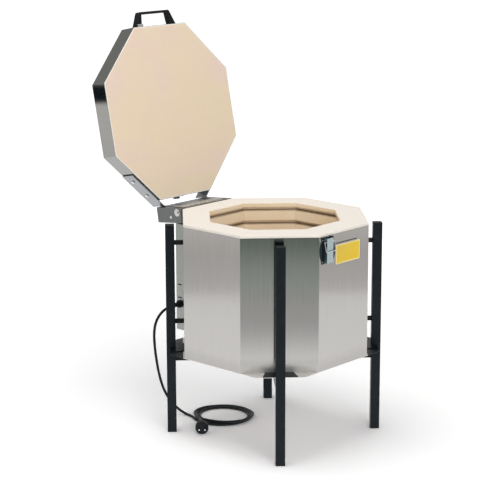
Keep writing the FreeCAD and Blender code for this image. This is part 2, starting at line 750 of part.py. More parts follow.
def build_terminal_box():
    """Back plate with posts, two covers, terminal block, gland and screws."""
    inner = f"({BOX_OUT} - Sizes.box_sheet)"
    back = new_body("terminal_box_back")
    pad(back, "XZ", [centred(BOX_HALF, BOX_BASE, BOX_TOP)],
        size("box_back_sheet"), offset=f"-{FLAT}", reverse=True)
    posts = []
    for side in ("-", ""):
        for level in (f"{BOX_BASE} + Sizes.box_post_inset",
                      f"{BOX_SEAM} - Sizes.box_post_inset",
                      f"{BOX_SEAM} + Sizes.box_post_inset"):
            posts.append((f"{side}({BOX_HALF} - Sizes.box_post_inset)", level))
    pad(back, "XZ", [(x, z, "Sizes.box_post_rad") for x, z in posts], f"{inner} - {BOX_BACK}",
        offset=f"-{BOX_BACK}", reverse=True)
    pocket(back, "XZ", [(x, z, "Sizes.box_screw_rad + Sizes.fit_gap") for x, z in posts],
           f"{inner} - {BOX_BACK}", offset=f"-{inner}", reverse=True)
    pocket(back, "XZ", rear_holes(False))

    spans = {"lower": (BOX_BASE, BOX_SEAM),
             "upper": (BOX_SEAM, BOX_TOP)}
    for name, (low, high) in spans.items():
        cover = new_body(f"terminal_box_{name}_cover")
        pad(cover, "XZ", [centred(BOX_HALF, low, high)], f"{BOX_OUT} - {BOX_BACK}",
            offset=f"-{BOX_BACK}", reverse=True)
        pocket(cover, "XZ", [centred(f"{BOX_HALF} - Sizes.box_sheet",
                                     f"{low} + Sizes.box_sheet", f"{high} - Sizes.box_sheet")],
               f"{inner} - {BOX_BACK}", offset=f"-{inner}", reverse=True)
        holes = [(x, z, "Sizes.box_screw_rad + Sizes.fit_gap") for x, z in posts
                 if value(low) < value(z) < value(high)]
        pocket(cover, "XZ", holes)
        if name == "lower":
            slot = pocket(cover, "XZ", [centred(
                "Sizes.box_slot_wide / 2", BOX_SLOT_FIRST,
                f"{BOX_SLOT_FIRST} + Sizes.box_slot_high")])
            repeat(cover, slot, "Z_Axis",
                   "Sizes.box_slot_pitch * (Sizes.box_slot_count - 1)", size("box_slot_count"))
            pocket(cover, "YZ", [(BOX_MID, GLAND_LEVEL,
                                  "Sizes.gland_thread_rad + Sizes.fit_gap")])
            side_slots = [rectangle(f"{BOX_BACK} + Sizes.side_slot_margin",
                                    f"{BOX_OUT} - Sizes.side_slot_margin",
                                    f"{BOX_BASE} + Sizes.side_slot_{level}",
                                    f"{BOX_BASE} + Sizes.side_slot_{level} + Sizes.side_slot_high")
                          for level in ("low", "middle", "upper")]
            pocket(cover, "YZ", side_slots, f"3 * {BOX_HALF}", midplane=True)

    block = new_body("terminal_block")
    pad(block, "XZ", [centred("Sizes.block_half", BLOCK_BASE,
                              f"{BLOCK_BASE} + Sizes.block_high")],
        size("block_deep"), offset=f"-{BOX_BACK}", reverse=True)
    bores = [(f"{step} * Sizes.block_bore_pitch", f"{BLOCK_BASE} + Sizes.block_high / 2",
              "Sizes.block_bore_rad") for step in (-2.5, -1.5, -0.5, 0.5, 1.5, 2.5)]
    pocket(block, "XZ", bores, "Sizes.block_bore_deep",
           offset=f"-({BOX_BACK} + Sizes.block_deep)", reverse=True)

    screws = []
    for index, (x, z) in enumerate(posts):
        screw = new_body(f"box_screw_{index + 1}", export=False)
        pad(screw, "XZ", [(x, z, "Sizes.box_screw_rad")], "Sizes.box_post_inset",
            offset=f"-{BOX_OUT}")
        pad(screw, "XZ", [(x, z, "Sizes.box_screw_head")], "Sizes.box_screw_head_thick",
            offset=f"-{BOX_OUT}", reverse=True)
        screws.append((screw, [FreeCAD.Placement()]))
    group("cover_screws", screws)

    gland = new_body("cord_gland", FreeCAD.Placement(
        VECTOR(0, value(BOX_MID), value(GLAND_LEVEL)), FreeCAD.Rotation()))
    wall_in = f"-({BOX_HALF} - Sizes.box_sheet)"
    wall_out = f"-{BOX_HALF}"
    hex_out = f"({wall_out} - Sizes.gland_hex_long)"
    revolve(gland, "XZ", [[
        (f"{wall_in} + Sizes.gland_nut_long", "0"),
        (f"{wall_in} + Sizes.gland_nut_long", "Sizes.gland_hex_rad"),
        (wall_in, "Sizes.gland_hex_rad"), (wall_in, "Sizes.gland_thread_rad"),
        (wall_out, "Sizes.gland_thread_rad"), (wall_out, "Sizes.gland_hex_rad"),
        (hex_out, "Sizes.gland_hex_rad"), (hex_out, "Sizes.gland_relief_rad"),
        (f"{hex_out} - Sizes.gland_relief_long", "Sizes.gland_tip_rad"),
        (f"{hex_out} - Sizes.gland_relief_long", "0"),
    ]], "H_Axis")


# Hinge console

def console_profile(inset):
    """The side outline of the folded console, in YZ, moved inwards by a wall."""
    wall = inset
    return [(f"{CONSOLE_FRONT} + {wall}", f"{CONSOLE_FRONT_BASE} + {wall}"),
            (f"{CONSOLE_BACK_BASE_Y} - {wall}", f"{CONSOLE_BACK_BASE} + {wall}"),
            (f"{CONSOLE_BACK_TOP_Y} - {wall}", f"{CONSOLE_BACK_TOP} - {wall}"),
            (f"{CONSOLE_FRONT} + {wall}", f"{RIM} - {wall}")]


def build_console():
    """Folded housing behind the rim with louvres, its rod, sleeves, bracket and bolts."""
    console = new_body("hinge_console")
    pad(console, "YZ", [console_profile("0")], f"2 * {CONSOLE_HALF}", midplane=True)
    pocket(console, "YZ", [console_profile("Sizes.console_sheet")],
           f"2 * ({CONSOLE_HALF} - Sizes.console_sheet)", midplane=True)
    slot_half = "(Sizes.arm_thick / 2 + Sizes.arm_slot_gap)"
    slot_front = f"{CONSOLE_FRONT} + Sizes.arm_slot_front"
    slot_back = f"{CONSOLE_BACK_TOP_Y} - Sizes.arm_slot_back"
    slots = [rectangle(f"{side}{ARM_PLANE} - {slot_half}",
                       f"{side}{ARM_PLANE} + {slot_half}", slot_front, slot_back)
             for side in ("-", "")]
    cut_from = f"{RIM} + Sizes.console_cut_above"
    cut_deep = f"{cut_from} - {HINGE_Z} - Sizes.console_cut_rest"
    pocket(console, "XY", slots, cut_deep, offset=cut_from)
    first = f"-{LOUVRE_PITCH} * Sizes.louvre_count / 2"
    louvre = pocket(console, "XY", [rectangle(
        f"{first} - Sizes.louvre_wide / 2", f"{first} + Sizes.louvre_wide / 2",
        f"{CONSOLE_FRONT} + Sizes.louvre_front",
        f"{CONSOLE_FRONT} + Sizes.louvre_front + Sizes.louvre_long")],
        cut_deep, offset=cut_from)
    repeat(console, louvre, "X_Axis", f"{LOUVRE_PITCH} * Sizes.louvre_count",
           "Sizes.louvre_count + 1")
    pocket(console, "YZ", [(HINGE_Y, HINGE_Z,
                            "Sizes.hinge_rod_rad + Sizes.hinge_fit"),
                           (CHEEK_BOLT_Y, CHEEK_BOLT_Z,
                            "Sizes.bolt_rad + Sizes.fit_gap")], midplane=True)
    bracket_holes = [(f"{side}{BRACKET_BOLT_X}", BRACKET_BOLT_Z,
                      "Sizes.bolt_rad + Sizes.fit_gap") for side in ("-", "")]
    pocket(console, "XZ", bracket_holes, "2 * Sizes.console_sheet",
           offset=f"-({CONSOLE_FRONT} - 0.5 * Sizes.console_sheet)")

    bracket = new_body("hinge_bracket")
    pad(bracket, "XZ", [centred(BRACKET_HALF, CONSOLE_FRONT_BASE,
                                "Sizes.casing_base + Sizes.casing_height")],
        f"{CONSOLE_FRONT} - {FLAT}", offset=f"-{FLAT}", reverse=True)
    pocket(bracket, "XZ", bracket_holes)

    rod = new_body("hinge_rod")
    pad(rod, "YZ", [(HINGE_Y, HINGE_Z, "Sizes.hinge_rod_rad")],
        f"2 * {CONSOLE_HALF}", midplane=True)

    sleeve = new_body("sleeve", export=False)
    pad(sleeve, "YZ", [(HINGE_Y, HINGE_Z, "Sizes.sleeve_rad"),
                       (HINGE_Y, HINGE_Z,
                        "Sizes.hinge_rod_rad + Sizes.hinge_fit")],
        f"{CONSOLE_HALF} - Sizes.console_sheet - {ARM_PLANE} - Sizes.arm_thick / 2"
        " - 2 * Sizes.move_gap",
        offset=f"{ARM_PLANE} + Sizes.arm_thick / 2 + Sizes.move_gap")
    half_turn = FreeCAD.Placement(
        VECTOR(0, 2 * value(HINGE_Y), 0), FreeCAD.Rotation(VECTOR(0, 0, 1), 180))
    group("hinge_sleeves", [(sleeve, [FreeCAD.Placement(), half_turn])])

    bolt = new_body("cheek_bolt", export=False)
    centre = (CHEEK_BOLT_Y, CHEEK_BOLT_Z)
    pad(bolt, "YZ", [(*centre, "Sizes.cheek_washer_rad")], "Sizes.cheek_washer_thick",
        offset=CONSOLE_HALF)
    pad(bolt, "YZ", [(*centre, "Sizes.bolt_head_rad")], "Sizes.bolt_head_thick",
        offset=f"{CONSOLE_HALF} + Sizes.cheek_washer_thick")
    pad(bolt, "YZ", [(*centre, "Sizes.bolt_rad")], size("cheek_bolt_long"),
        offset=CONSOLE_HALF, reverse=True)
    half_turn = FreeCAD.Placement(
        VECTOR(0, 2 * value(CHEEK_BOLT_Y), 0), FreeCAD.Rotation(VECTOR(0, 0, 1), 180))
    members = [(bolt, [FreeCAD.Placement(), half_turn])]
    fixing = new_body("bracket_bolt", export=False)
    face = f"({CONSOLE_FRONT} + Sizes.console_sheet)"
    pad(fixing, "XZ", [(BRACKET_BOLT_X, BRACKET_BOLT_Z, "Sizes.bolt_rad")],
        f"{face} - {FLAT}", offset=f"-{face}")
    pad(fixing, "XZ", [(BRACKET_BOLT_X, BRACKET_BOLT_Z,
                        "Sizes.bolt_head_rad")],
        "Sizes.bolt_head_thick", offset=f"-{face}", reverse=True)
    shift = FreeCAD.Placement(
        VECTOR(-2 * value(BRACKET_BOLT_X), 0, 0), FreeCAD.Rotation())
    members.append((fixing, [FreeCAD.Placement(), shift]))
    group("console_bolts", members)


# Lid, modelled closed and then opened about the hinge rod

def lid_placement():
    """The turn that takes the closed lid to its open stop."""
    centre = VECTOR(0, value(HINGE_Y), value(HINGE_Z))
    return turned(-value("Sizes.lid_open_angle"), VECTOR(1, 0, 0), centre)


def closed_from_open(y, z):
    """Where a point of the open pose lies when the lid is closed."""
    angle = math.radians(value("Sizes.lid_open_angle"))
    along = y - value(HINGE_Y)
    up = z - value(HINGE_Z)
    return (value(HINGE_Y) + along * math.cos(angle) - up * math.sin(angle),
            value(HINGE_Z) + along * math.sin(angle) + up * math.cos(angle))


def build_lid():
    """Brick slab, fibre wrap, band and cover."""
    place = lid_placement()
    top = f"{LID_FACE} + Sizes.lid_thick"
    brick = new_body("lid_brick", place)
    pad(brick, "XY", [octagon(LID_BRICK)], "Sizes.lid_thick - Sizes.lid_sheet",
        offset=LID_FACE)
    wrap = new_body("lid_fibre_wrap", place)
    band_low = f"{LID_FACE} + Sizes.lid_brick_proud"
    pad(wrap, "XY", [octagon(f"({LID_BAND} - Sizes.lid_sheet)"), octagon(LID_BRICK)],
        "Sizes.lid_thick - Sizes.lid_sheet - Sizes.lid_brick_proud", offset=band_low)
    band = new_body("lid_band", place)
    pad(band, "XY", [octagon(LID_BAND), octagon(f"({LID_BAND} - Sizes.lid_sheet)")],
        "Sizes.lid_thick - Sizes.lid_brick_proud", offset=band_low)
    cover = new_body("lid_cover", place)
    pad(cover, "XY", [octagon(f"({LID_BAND} - Sizes.lid_sheet)")], size("lid_sheet"),
        offset=top, reverse=True)


def arm_bolt_places():
    """Where the arm bolts stand along a slanted facet, and their height, as pairs."""
    level = f"{LID_FACE} + Sizes.arm_low / 2 + Sizes.arm_high / 2"
    return [("Sizes.arm_bolt_first", level),
            ("Sizes.arm_bolt_first + Sizes.arm_bolt_pitch", level)]


def build_arms():
    """Bent arms: a strap on each slanted facet of the band, then an ear down to the rod."""
    place = lid_placement()
    stop_y, _ = closed_from_open(value(CONSOLE_BACK_TOP_Y),
                                 value(CONSOLE_BACK_TOP))
    stop = str(stop_y - value("Sizes.move_gap"))
    low = f"({LID_FACE} + Sizes.arm_low)"
    high = f"({LID_FACE} + Sizes.arm_high)"
    neck = f"({LID_FACE} + Sizes.ear_neck)"
    strap_in = f"({LID_BAND} * sqrt(2))"
    strap_out = f"({LID_BAND} * sqrt(2) + Sizes.arm_thick * sqrt(2))"
    ear_in = f"({ARM_PLANE} - Sizes.arm_thick / 2)"
    ear_out = f"({ARM_PLANE} + Sizes.arm_thick / 2)"
    end = f"({HINGE_Y} + Sizes.ear_hub_rad)"
    foot = f"({HINGE_Z} - Sizes.ear_hub_rad)"
    hub_back = f"({HINGE_Y} + Sizes.ear_hub_half)"
    hub_front = f"({HINGE_Y} - Sizes.ear_hub_half)"
    front = f"({strap_in} - {ear_in} - Sizes.arm_thick)"
    near = f"({ARM_START} - Sizes.arm_cut / 2)"
    keep = [(near, low), (front, low), (hub_front, HINGE_Z), (hub_front, foot),
            (hub_back, foot), (hub_back, HINGE_Z), (stop, neck), (stop, high),
            (near, high)]
    around = rectangle(f"({ARM_START} - Sizes.arm_cut)", f"({HINGE_Y} + Sizes.arm_cut)",
                       f"({foot} - Sizes.arm_cut)", f"({high} + Sizes.arm_cut)")
    for name, side, turn in (("left", "-", -135.0), ("right", "", 135.0)):
        arm = new_body(f"lid_arm_{name}", place)
        pad(arm, "XY", [[
            (f"{side}{ear_out}", end),
            (f"{side}{ear_out}", f"{strap_out} - {ear_out}"),
            (f"{side}({strap_out} - {ARM_START})", ARM_START),
            (f"{side}({strap_in} - {ARM_START})", ARM_START),
            (f"{side}{ear_in}", f"{strap_in} - {ear_in}"),
            (f"{side}{ear_in}", end),
        ]], f"{high} - {foot}", offset=foot)
        pocket(arm, "YZ", [around, keep], f"4 * {ARM_START}", midplane=True)
        corner = value(foot)
        dress(arm, "Fillet", "Radius", size("ear_round"),
              lambda start, end_: abs(start.x - end_.x) > 1.0
              and abs(start.z - corner) < 0.01 and abs(end_.z - corner) < 0.01)
        pocket(arm, "YZ", [(HINGE_Y, HINGE_Z,
                            "Sizes.hinge_rod_rad + Sizes.hinge_fit")], midplane=True)
        sign = "-" if name == "left" else ""
        pocket(arm, "XZ", [(f"{sign}({x})", z, "Sizes.arm_bolt_rad + Sizes.fit_gap")
                           for x, z in arm_bolt_places()], reverse=True, turn=turn)

    bolts = []
    for name, sign, turn in (("left", "-", -135.0), ("right", "", 135.0)):
        for index, (x, z) in enumerate(arm_bolt_places()):
            bolt = new_body(f"arm_bolt_{name}_{index + 1}", export=False)
            outside = f"({LID_BAND} + Sizes.arm_thick)"
            pad(bolt, "XZ", [(f"{sign}({x})", z, "Sizes.arm_bolt_head")],
                size("arm_bolt_head_thick"), offset=outside)
            pad(bolt, "XZ", [(f"{sign}({x})", z, "Sizes.arm_bolt_rad")],
                f"{outside} - {LID_BRICK}", offset=outside, reverse=True)
            bolts.append((bolt, [place.multiply(turned(turn))]))
    group("arm_bolts", bolts)
    for piece in ("lid_band", "lid_fibre_wrap"):
        body = document.getObject(piece)
        for sign, turn in (("-", -135.0), ("", 135.0)):
            pocket(body, "XZ", [(f"{sign}({x})", z, "Sizes.arm_bolt_rad + Sizes.fit_gap")
                                for x, z in arm_bolt_places()], reverse=True, turn=turn)


def build_handle():
    """Bow handle on the front facet of the band, with its screws from inside."""
    place = lid_placement()
    level = f"({LID_FACE} + Sizes.handle_near)"
    foot = "(Sizes.handle_foot / 2)"
    crown = "(Sizes.handle_top / 2)"
    foot_in = "(Sizes.handle_foot / 2 - Sizes.handle_foot_thick)"
    crown_in = "(Sizes.handle_top / 2 - Sizes.handle_top_thick)"
    wall = f"-{LID_BAND}"
    under = f"-({LID_BAND} + Sizes.handle_high - Sizes.handle_grip)"
    over = f"-({LID_BAND} + Sizes.handle_high)"
    handle = new_body("lid_handle", place)
    pad(handle, "XY", [[
        (f"-{foot}", wall), (f"-{foot_in}", wall), (f"-{crown_in}", under),
        (crown_in, under), (foot_in, wall), (foot, wall), (crown, over), (f"-{crown}", over),
    ]], size("handle_deep"), offset=level)
    edge = value(over)
    dress(handle, "Fillet", "Radius", size("handle_corner"),
          lambda start, end: abs(start.z - end.z) > 1.0 and abs(start.y - edge) < 0.01)
    dress(handle, "Fillet", "Radius", size("handle_round"),
          lambda start, end: abs(start.z - end.z) < 0.01 and start.y < edge + 0.1
          and end.y < edge + 0.1)
    middle = f"{level} + Sizes.handle_deep / 2"
    centre = f"({foot} - Sizes.handle_foot_thick / 2)"
    places = [(f"{side}{centre}", middle) for side in ("-", "")]
    bore = [(x, z, "Sizes.handle_screw_rad + Sizes.fit_gap") for x, z in places]
    sunk = [(x, z, "Sizes.handle_screw_head + Sizes.fit_gap") for x, z in places]
    pocket(handle, "XZ", bore, "Sizes.handle_screw_long + Sizes.move_gap", offset=LID_BAND,
           reverse=True)
    pocket(document.getObject("lid_band"), "XZ", bore, reverse=True)
    pocket(document.getObject("lid_fibre_wrap"), "XZ", sunk, reverse=True)
    head = "Sizes.handle_screw_head_thick"
    inside = f"({LID_BAND} - Sizes.lid_sheet)"
    pocket(document.getObject("lid_brick"), "XZ", sunk,
           f"{LID_BRICK} - {inside} + {head} + Sizes.move_gap", offset=LID_BRICK)
    screws = []
    for index, (x, z) in enumerate(places):
        screw = new_body(f"handle_screw_{index + 1}", export=False)
        pad(screw, "XZ", [(x, z, "Sizes.handle_screw_rad")],
            "Sizes.lid_sheet + Sizes.handle_screw_long", offset=inside)
        pad(screw, "XZ", [(x, z, "Sizes.handle_screw_head")], head, offset=inside,
            reverse=True)
        screws.append((screw, [place]))
    group("handle_screws", screws)


def build_keeper_and_clamp():
    """Latch keeper on the front facet, and the clamp that closes the band at the rear."""
    place = lid_placement()
    keeper = new_body("latch_keeper", place)
    wall = LID_BAND
    skin = "Sizes.keeper_sheet"
    lip = f"({LID_FACE} + Sizes.keeper_lip)"
    pad(keeper, "YZ", [[
        (f"-{wall}", f"{LID_FACE} + Sizes.keeper_low"),
        (f"-({wall} + {skin})", f"{LID_FACE} + Sizes.keeper_low"),
        (f"-({wall} + {skin})", lip),
        (f"-({wall} + Sizes.keeper_hook)", lip),
        (f"-({wall} + Sizes.keeper_hook)", f"{lip} + Sizes.keeper_tip"),
        (f"-({wall} + Sizes.keeper_hook - {skin})", f"{lip} + Sizes.keeper_tip"),
        (f"-({wall} + Sizes.keeper_hook - {skin})", f"{lip} + {skin}"),
        (f"-({wall} + {skin})", f"{lip} + {skin}"),
        (f"-({wall} + {skin})", f"{LID_FACE} + Sizes.keeper_high"),
        (f"-{wall}", f"{LID_FACE} + Sizes.keeper_high"),
    ]], "2 * Sizes.keeper_half", offset="Sizes.latch_x", midplane=True)

    low = f"({LID_FACE} + Sizes.clamp_low)"
    high = "Sizes.clamp_high - Sizes.clamp_low"
    metal = "Sizes.clamp_sheet"
    members = []
    for index, side in enumerate(("-", "+")):
        lug = new_body(f"clamp_lug_{index + 1}", export=False)
        near = f"(Sizes.clamp_x {side} Sizes.clamp_space / 2)"
        bend = f"(Sizes.clamp_x {side} (Sizes.clamp_space / 2 + {metal}))"
        far = f"(Sizes.clamp_x {side} (Sizes.clamp_space / 2 + Sizes.clamp_long))"
        pad(lug, "XY", [[
            (near, wall), (far, wall), (far, f"{wall} + {metal}"), (bend, f"{wall} + {metal}"),
            (bend, f"{wall} + Sizes.clamp_lug"), (near, f"{wall} + Sizes.clamp_lug"),
        ]], high, offset=low)
        pocket(lug, "YZ", [(f"{wall} + Sizes.clamp_screw_out", f"{low} + ({high}) / 2",
                            f"{metal} + Sizes.fit_gap")], midplane=True)
        members.append((lug, [place]))
    screw = new_body("clamp_screw", export=False)
    pad(screw, "YZ", [(f"{wall} + Sizes.clamp_screw_out", f"{low} + ({high}) / 2", metal)],
        size("clamp_screw_long"), offset="Sizes.clamp_x", midplane=True)
    members.append((screw, [place]))
    group("band_clamp", members)


# Latch on the casing

# Share of the cheek's depth, and of its height below the pin, along its bulged edge
CHEEK_CURVE = ((0.7, 0.2), (0.95, 0.4), (1.0, 0.55), (0.85, 0.75), (0.5, 0.9))


def build_latch():
    """Base with two curved cheeks, its screws, the lever with its pin, and the wire bail."""
    wall = FLAT
    skin = "Sizes.latch_sheet"
    face = f"({wall} + {skin})"
    centre = "Sizes.latch_x"
    base = new_body("latch_base")
    pad(base, "XZ", [rectangle(f"{centre} - Sizes.latch_half", f"{centre} + Sizes.latch_half",
                               LATCH_BASE, LATCH_TOP)],
        skin, offset=wall)
    out = "Sizes.latch_cheek_out"
    ear = "Sizes.latch_ear"
    span = f"({LEVER_PIN_Z} - {LATCH_BASE})"
    pin = (LEVER_PIN_Y, LEVER_PIN_Z)
    cheek = [
        (f"-{face}", LATCH_TOP), (f"-({pin[0]} + {ear} / 2)", LATCH_TOP),
        (f"-({pin[0]} + {ear})", pin[1]), (f"-({pin[0]} + {ear} / 4)", f"{pin[1]} - {ear}"),
        (f"-({pin[0]} - {ear} / 2)", f"{pin[1]} - 2 * {ear}"),
    ]
    cheek += [(f"-({wall} + {out} * {deep})", f"{pin[1]} - {span} * {down}")
              for deep, down in CHEEK_CURVE]
    cheek.append((f"-{face}", LATCH_BASE))
    for side in ("-", "+"):
        pad(base, "YZ", [cheek], skin,
            offset=f"{centre} {side} (Sizes.latch_cheek + {skin} / 2)", midplane=True)
    pocket(base, "YZ", [(f"-{pin[0]}", pin[1], "Sizes.lever_pin_rad + Sizes.hinge_fit")],
           midplane=True)

    screws = []
    for side in ("-", "+"):
        for level in (f"{LATCH_BASE} + Sizes.latch_screw_inset",
                      f"{LATCH_TOP} - Sizes.latch_screw_inset"):
            screw = new_body("latch_screw", export=False)
            pad(screw, "XZ", [(f"{centre} {side} (Sizes.latch_half - Sizes.latch_screw_edge)",
                               level, size("latch_screw_rad"))],
                size("latch_screw_head"), offset=face)
            screws.append((screw, [FreeCAD.Placement()]))
    group("latch_screws", screws)

    lever = new_body("latch_lever")
    web = f"({wall} + Sizes.lever_stand)"
    pad(lever, "XZ", [rectangle(f"{centre} - Sizes.lever_half", f"{centre} + Sizes.lever_half",
                                LEVER_LOW, LEVER_TOP)],
        size("lever_sheet"), offset=web)
    low_hole = f"{LEVER_LOW} + Sizes.lever_hole_first"
    pocket(lever, "XZ", [(centre, level, size("lever_hole_rad"))
                         for level in (low_hole, f"{low_hole} + Sizes.lever_hole_pitch")])
    flange = rectangle(f"-{web}", f"-({pin[0]} - Sizes.lever_flange_in)",
                       f"{pin[1]} - Sizes.lever_flange_long", LEVER_TOP)
    for side in ("-", "+"):
        pad(lever, "YZ", [flange], size("lever_sheet"),
            offset=f"{centre} {side} (Sizes.lever_half - Sizes.lever_sheet / 2)", midplane=True)
    pocket(lever, "YZ", [
        (f"-{pin[0]}", pin[1], "Sizes.lever_pin_rad + Sizes.hinge_fit"),
        (f"-{BAIL_PIN_Y}", BAIL_PIN_Z, "Sizes.bail_wire + Sizes.hinge_fit"),
    ], midplane=True)
    rod = new_body("lever_pin")
    pad(rod, "YZ", [(f"-{pin[0]}", pin[1], "Sizes.lever_pin_rad")],
        f"2 * (Sizes.latch_cheek + {skin})", offset=centre, midplane=True)

    middle = value(centre)
    reach = value("Sizes.bail_half")
    inner = value("Sizes.lever_half - 2 * Sizes.lever_sheet")
    top = (-value(BAIL_PIN_Y), value(BAIL_PIN_Z))
    bar = (-value(BAIL_BAR_Y), value(BAIL_BAR_Z))
    route = [VECTOR(middle - inner, *top), VECTOR(middle - reach, *top),
             VECTOR(middle - reach, *bar), VECTOR(middle + reach, *bar),
             VECTOR(middle + reach, *top), VECTOR(middle + inner, *top)]
    swept_wire("latch_bail", [route], value("Sizes.bail_wire"), value(size("bail_bend")))


# Wires and cords: straight runs joined by tangent arcs

def rounded_path(points, bend=None):
    """A wire of straight runs and tangent arcs, and the radii of its arcs."""
    edges = []
    radii = []
    start = points[0]
    for before, corner, after in zip(points, points[1:], points[2:]):
        come = corner - before
        leave = after - corner
        turn = come.getAngle(leave)
        radius = bend or 0.45 * min(come.Length, leave.Length) / math.tan(turn / 2)
        cut = radius * math.tan(turn / 2)
        come.normalize()
        leave.normalize()
        enter = corner - come * cut
        depart = corner + leave * cut
        inwards = leave - come
        inwards.normalize()
        centre = corner + inwards * (radius / math.cos(turn / 2))
        middle = centre - inwards * radius
        edges.append(Part.LineSegment(start, enter).toShape())
        edges.append(Part.Arc(enter, middle, depart).toShape())
        radii.append(radius)
        start = depart
    edges.append(Part.LineSegment(start, points[-1]).toShape())
    return Part.Wire(edges), radii


def swept_wire(label, routes, radius, bend=None):
    """A round wire or cord along one or more routes, as one piece."""
    solids = []
    for route in routes:
        path, radii = rounded_path(route, bend)
        direction = route[1] - route[0]
        ring = Part.Wire(Part.makeCircle(radius, route[0], direction))
        solid = path.makePipeShell([ring], True, False)
        expected = math.pi * radius ** 2 * path.Length
        print(f"{label}: length {path.Length:.1f}, radii {[round(item) for item in radii]},"
              f" volume {solid.Volume / expected:.4f} of section times length")
        solids.append(solid)
    feature = document.addObject("Part::Feature", label)
    feature.Label = label
    feature.Shape = solids[0] if len(solids) == 1 else Part.makeCompound(solids)
    EXPORTED.append(feature)
    return feature


def build_cord():
    """Mains cord from the gland to the floor, its loose coil, and the plug."""
    floor = value("Sizes.cord_rad")
    exit_x = -value(f"{BOX_HALF} + Sizes.gland_hex_long + Sizes.gland_relief_long")
    level = value(GLAND_LEVEL)
    drop = [
        VECTOR(exit_x, value(BOX_MID), level), VECTOR(-176, value(BOX_MID), level),
        VECTOR(-202, 320, 386), VECTOR(-218, 331, 356), VECTOR(-217, 342, 314),
        VECTOR(-205, 351, 255), VECTOR(-188, 358, 190), VECTOR(-168, 363, 130),
        VECTOR(-147, 364, 84), VECTOR(-125, 358, 46), VECTOR(-107, 343, 20),
        VECTOR(-98, 320, floor + 2), VECTOR(-98, 293, floor), VECTOR(-106, 268, floor),
        VECTOR(-118, 247, floor),
    ]
    face = value("Sizes.plug_face")
    rear = (value("Sizes.plug_long") - face) * math.sqrt(0.5)
    axis = value("Sizes.plug_rad")
    tail = [
        VECTOR(value("Sizes.plug_x") + rear, value("Sizes.plug_y") + rear, axis),
        VECTOR(-151, 188, axis), VECTOR(-139, 203, 16.5), VECTOR(-130, 217, 9),
        VECTOR(-121, 231, floor),
    ]
    swept_wire("power_cord", [drop, tail], value("Sizes.cord_rad"))

    coil = new_body("cord_coil", FreeCAD.Placement(
        VECTOR(value("Sizes.coil_x"), value("Sizes.coil_y"), 0), FreeCAD.Rotation()))
    edge = "Sizes.cord_rad"
    revolve(coil, "XZ", [[
        ("Sizes.coil_inner", edge), (f"Sizes.coil_inner + {edge}", "0"),
        (f"Sizes.coil_outer - {edge}", "0"), ("Sizes.coil_outer", edge),
        ("Sizes.coil_outer", f"Sizes.coil_high - {edge}"),
        (f"Sizes.coil_outer - {edge}", "Sizes.coil_high"),
        (f"Sizes.coil_inner + {edge}", "Sizes.coil_high"),
        ("Sizes.coil_inner", f"Sizes.coil_high - {edge}"),
    ]], "V_Axis")

    place = FreeCAD.Placement(
        VECTOR(value("Sizes.plug_x"), value("Sizes.plug_y"), value("Sizes.plug_rad")),
        FreeCAD.Rotation(VECTOR(0, 0, 1), -135))
    plug = new_body("plug_body", place)
    revolve(plug, "XZ", [[
        ("Sizes.plug_face", "0"), ("Sizes.plug_face", "Sizes.plug_rad - Sizes.plug_edge"),
        ("Sizes.plug_face - Sizes.plug_edge", "Sizes.plug_rad"),
        ("Sizes.plug_face - Sizes.plug_body_long", "Sizes.plug_rad"),
        ("Sizes.plug_face - Sizes.plug_body_long - Sizes.plug_shoulder", "Sizes.plug_neck_rad"),
        ("Sizes.plug_face - Sizes.plug_long", "Sizes.cord_rad + Sizes.plug_sleeve"),
        ("Sizes.plug_face - Sizes.plug_long", "0"),
    ]], "H_Axis")
    pins = []
    for side in ("-", ""):
        pin = new_body("plug_pin", export=False)
        pad(pin, "YZ", [(f"{side}Sizes.plug_pin_gap / 2", "0", "Sizes.plug_pin_rad")],
            size("plug_pin_long"), offset="Sizes.plug_face")
        pins.append((pin, [place]))
    group("plug_pins", pins)


def check_and_export():
    """Stop on any failed object or bad shape, then write one file per piece."""
    document.recompute()
    for item in document.Objects:
        if {"Invalid", "Error"} & set(item.State):
            raise RuntimeError(f"{item.Label}: {item.State}")
    os.makedirs("parts", exist_ok=True)
    for item in EXPORTED:
        shape = item.Shape
        if shape.isNull() or not shape.isValid() or not shape.Solids:
            raise RuntimeError(f"{item.Label}: bad shape")
        shape.exportStep(f"parts/{item.Label}.step")
        print(f"{item.Label}: {len(shape.Solids)} solids, {shape.Volume / 1000:.1f} cm3")


build_casing()
build_elements()
build_legs()
build_base()
build_terminal_box()
build_console()
build_lid()
build_arms()
build_handle()
build_keeper_and_clamp()
build_latch()
build_cord()
check_and_export()
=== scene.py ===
"""Looks of an eight-sided ceramic kiln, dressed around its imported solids.

Lengths are metres in the solids' own frame: +Z up, the latch towards -Y, the hinge towards +Y.
Each sub-assembly is a class that dresses its own nodes and models what they lack, each finish
is a frozen dataclass, and the studio holds the floor, the lights and the camera.
"""

import logging
import math
from dataclasses import dataclass
from enum import Enum
from typing import Callable, Mapping, Optional, Sequence, Union

import bpy
from mathutils import Matrix, Vector


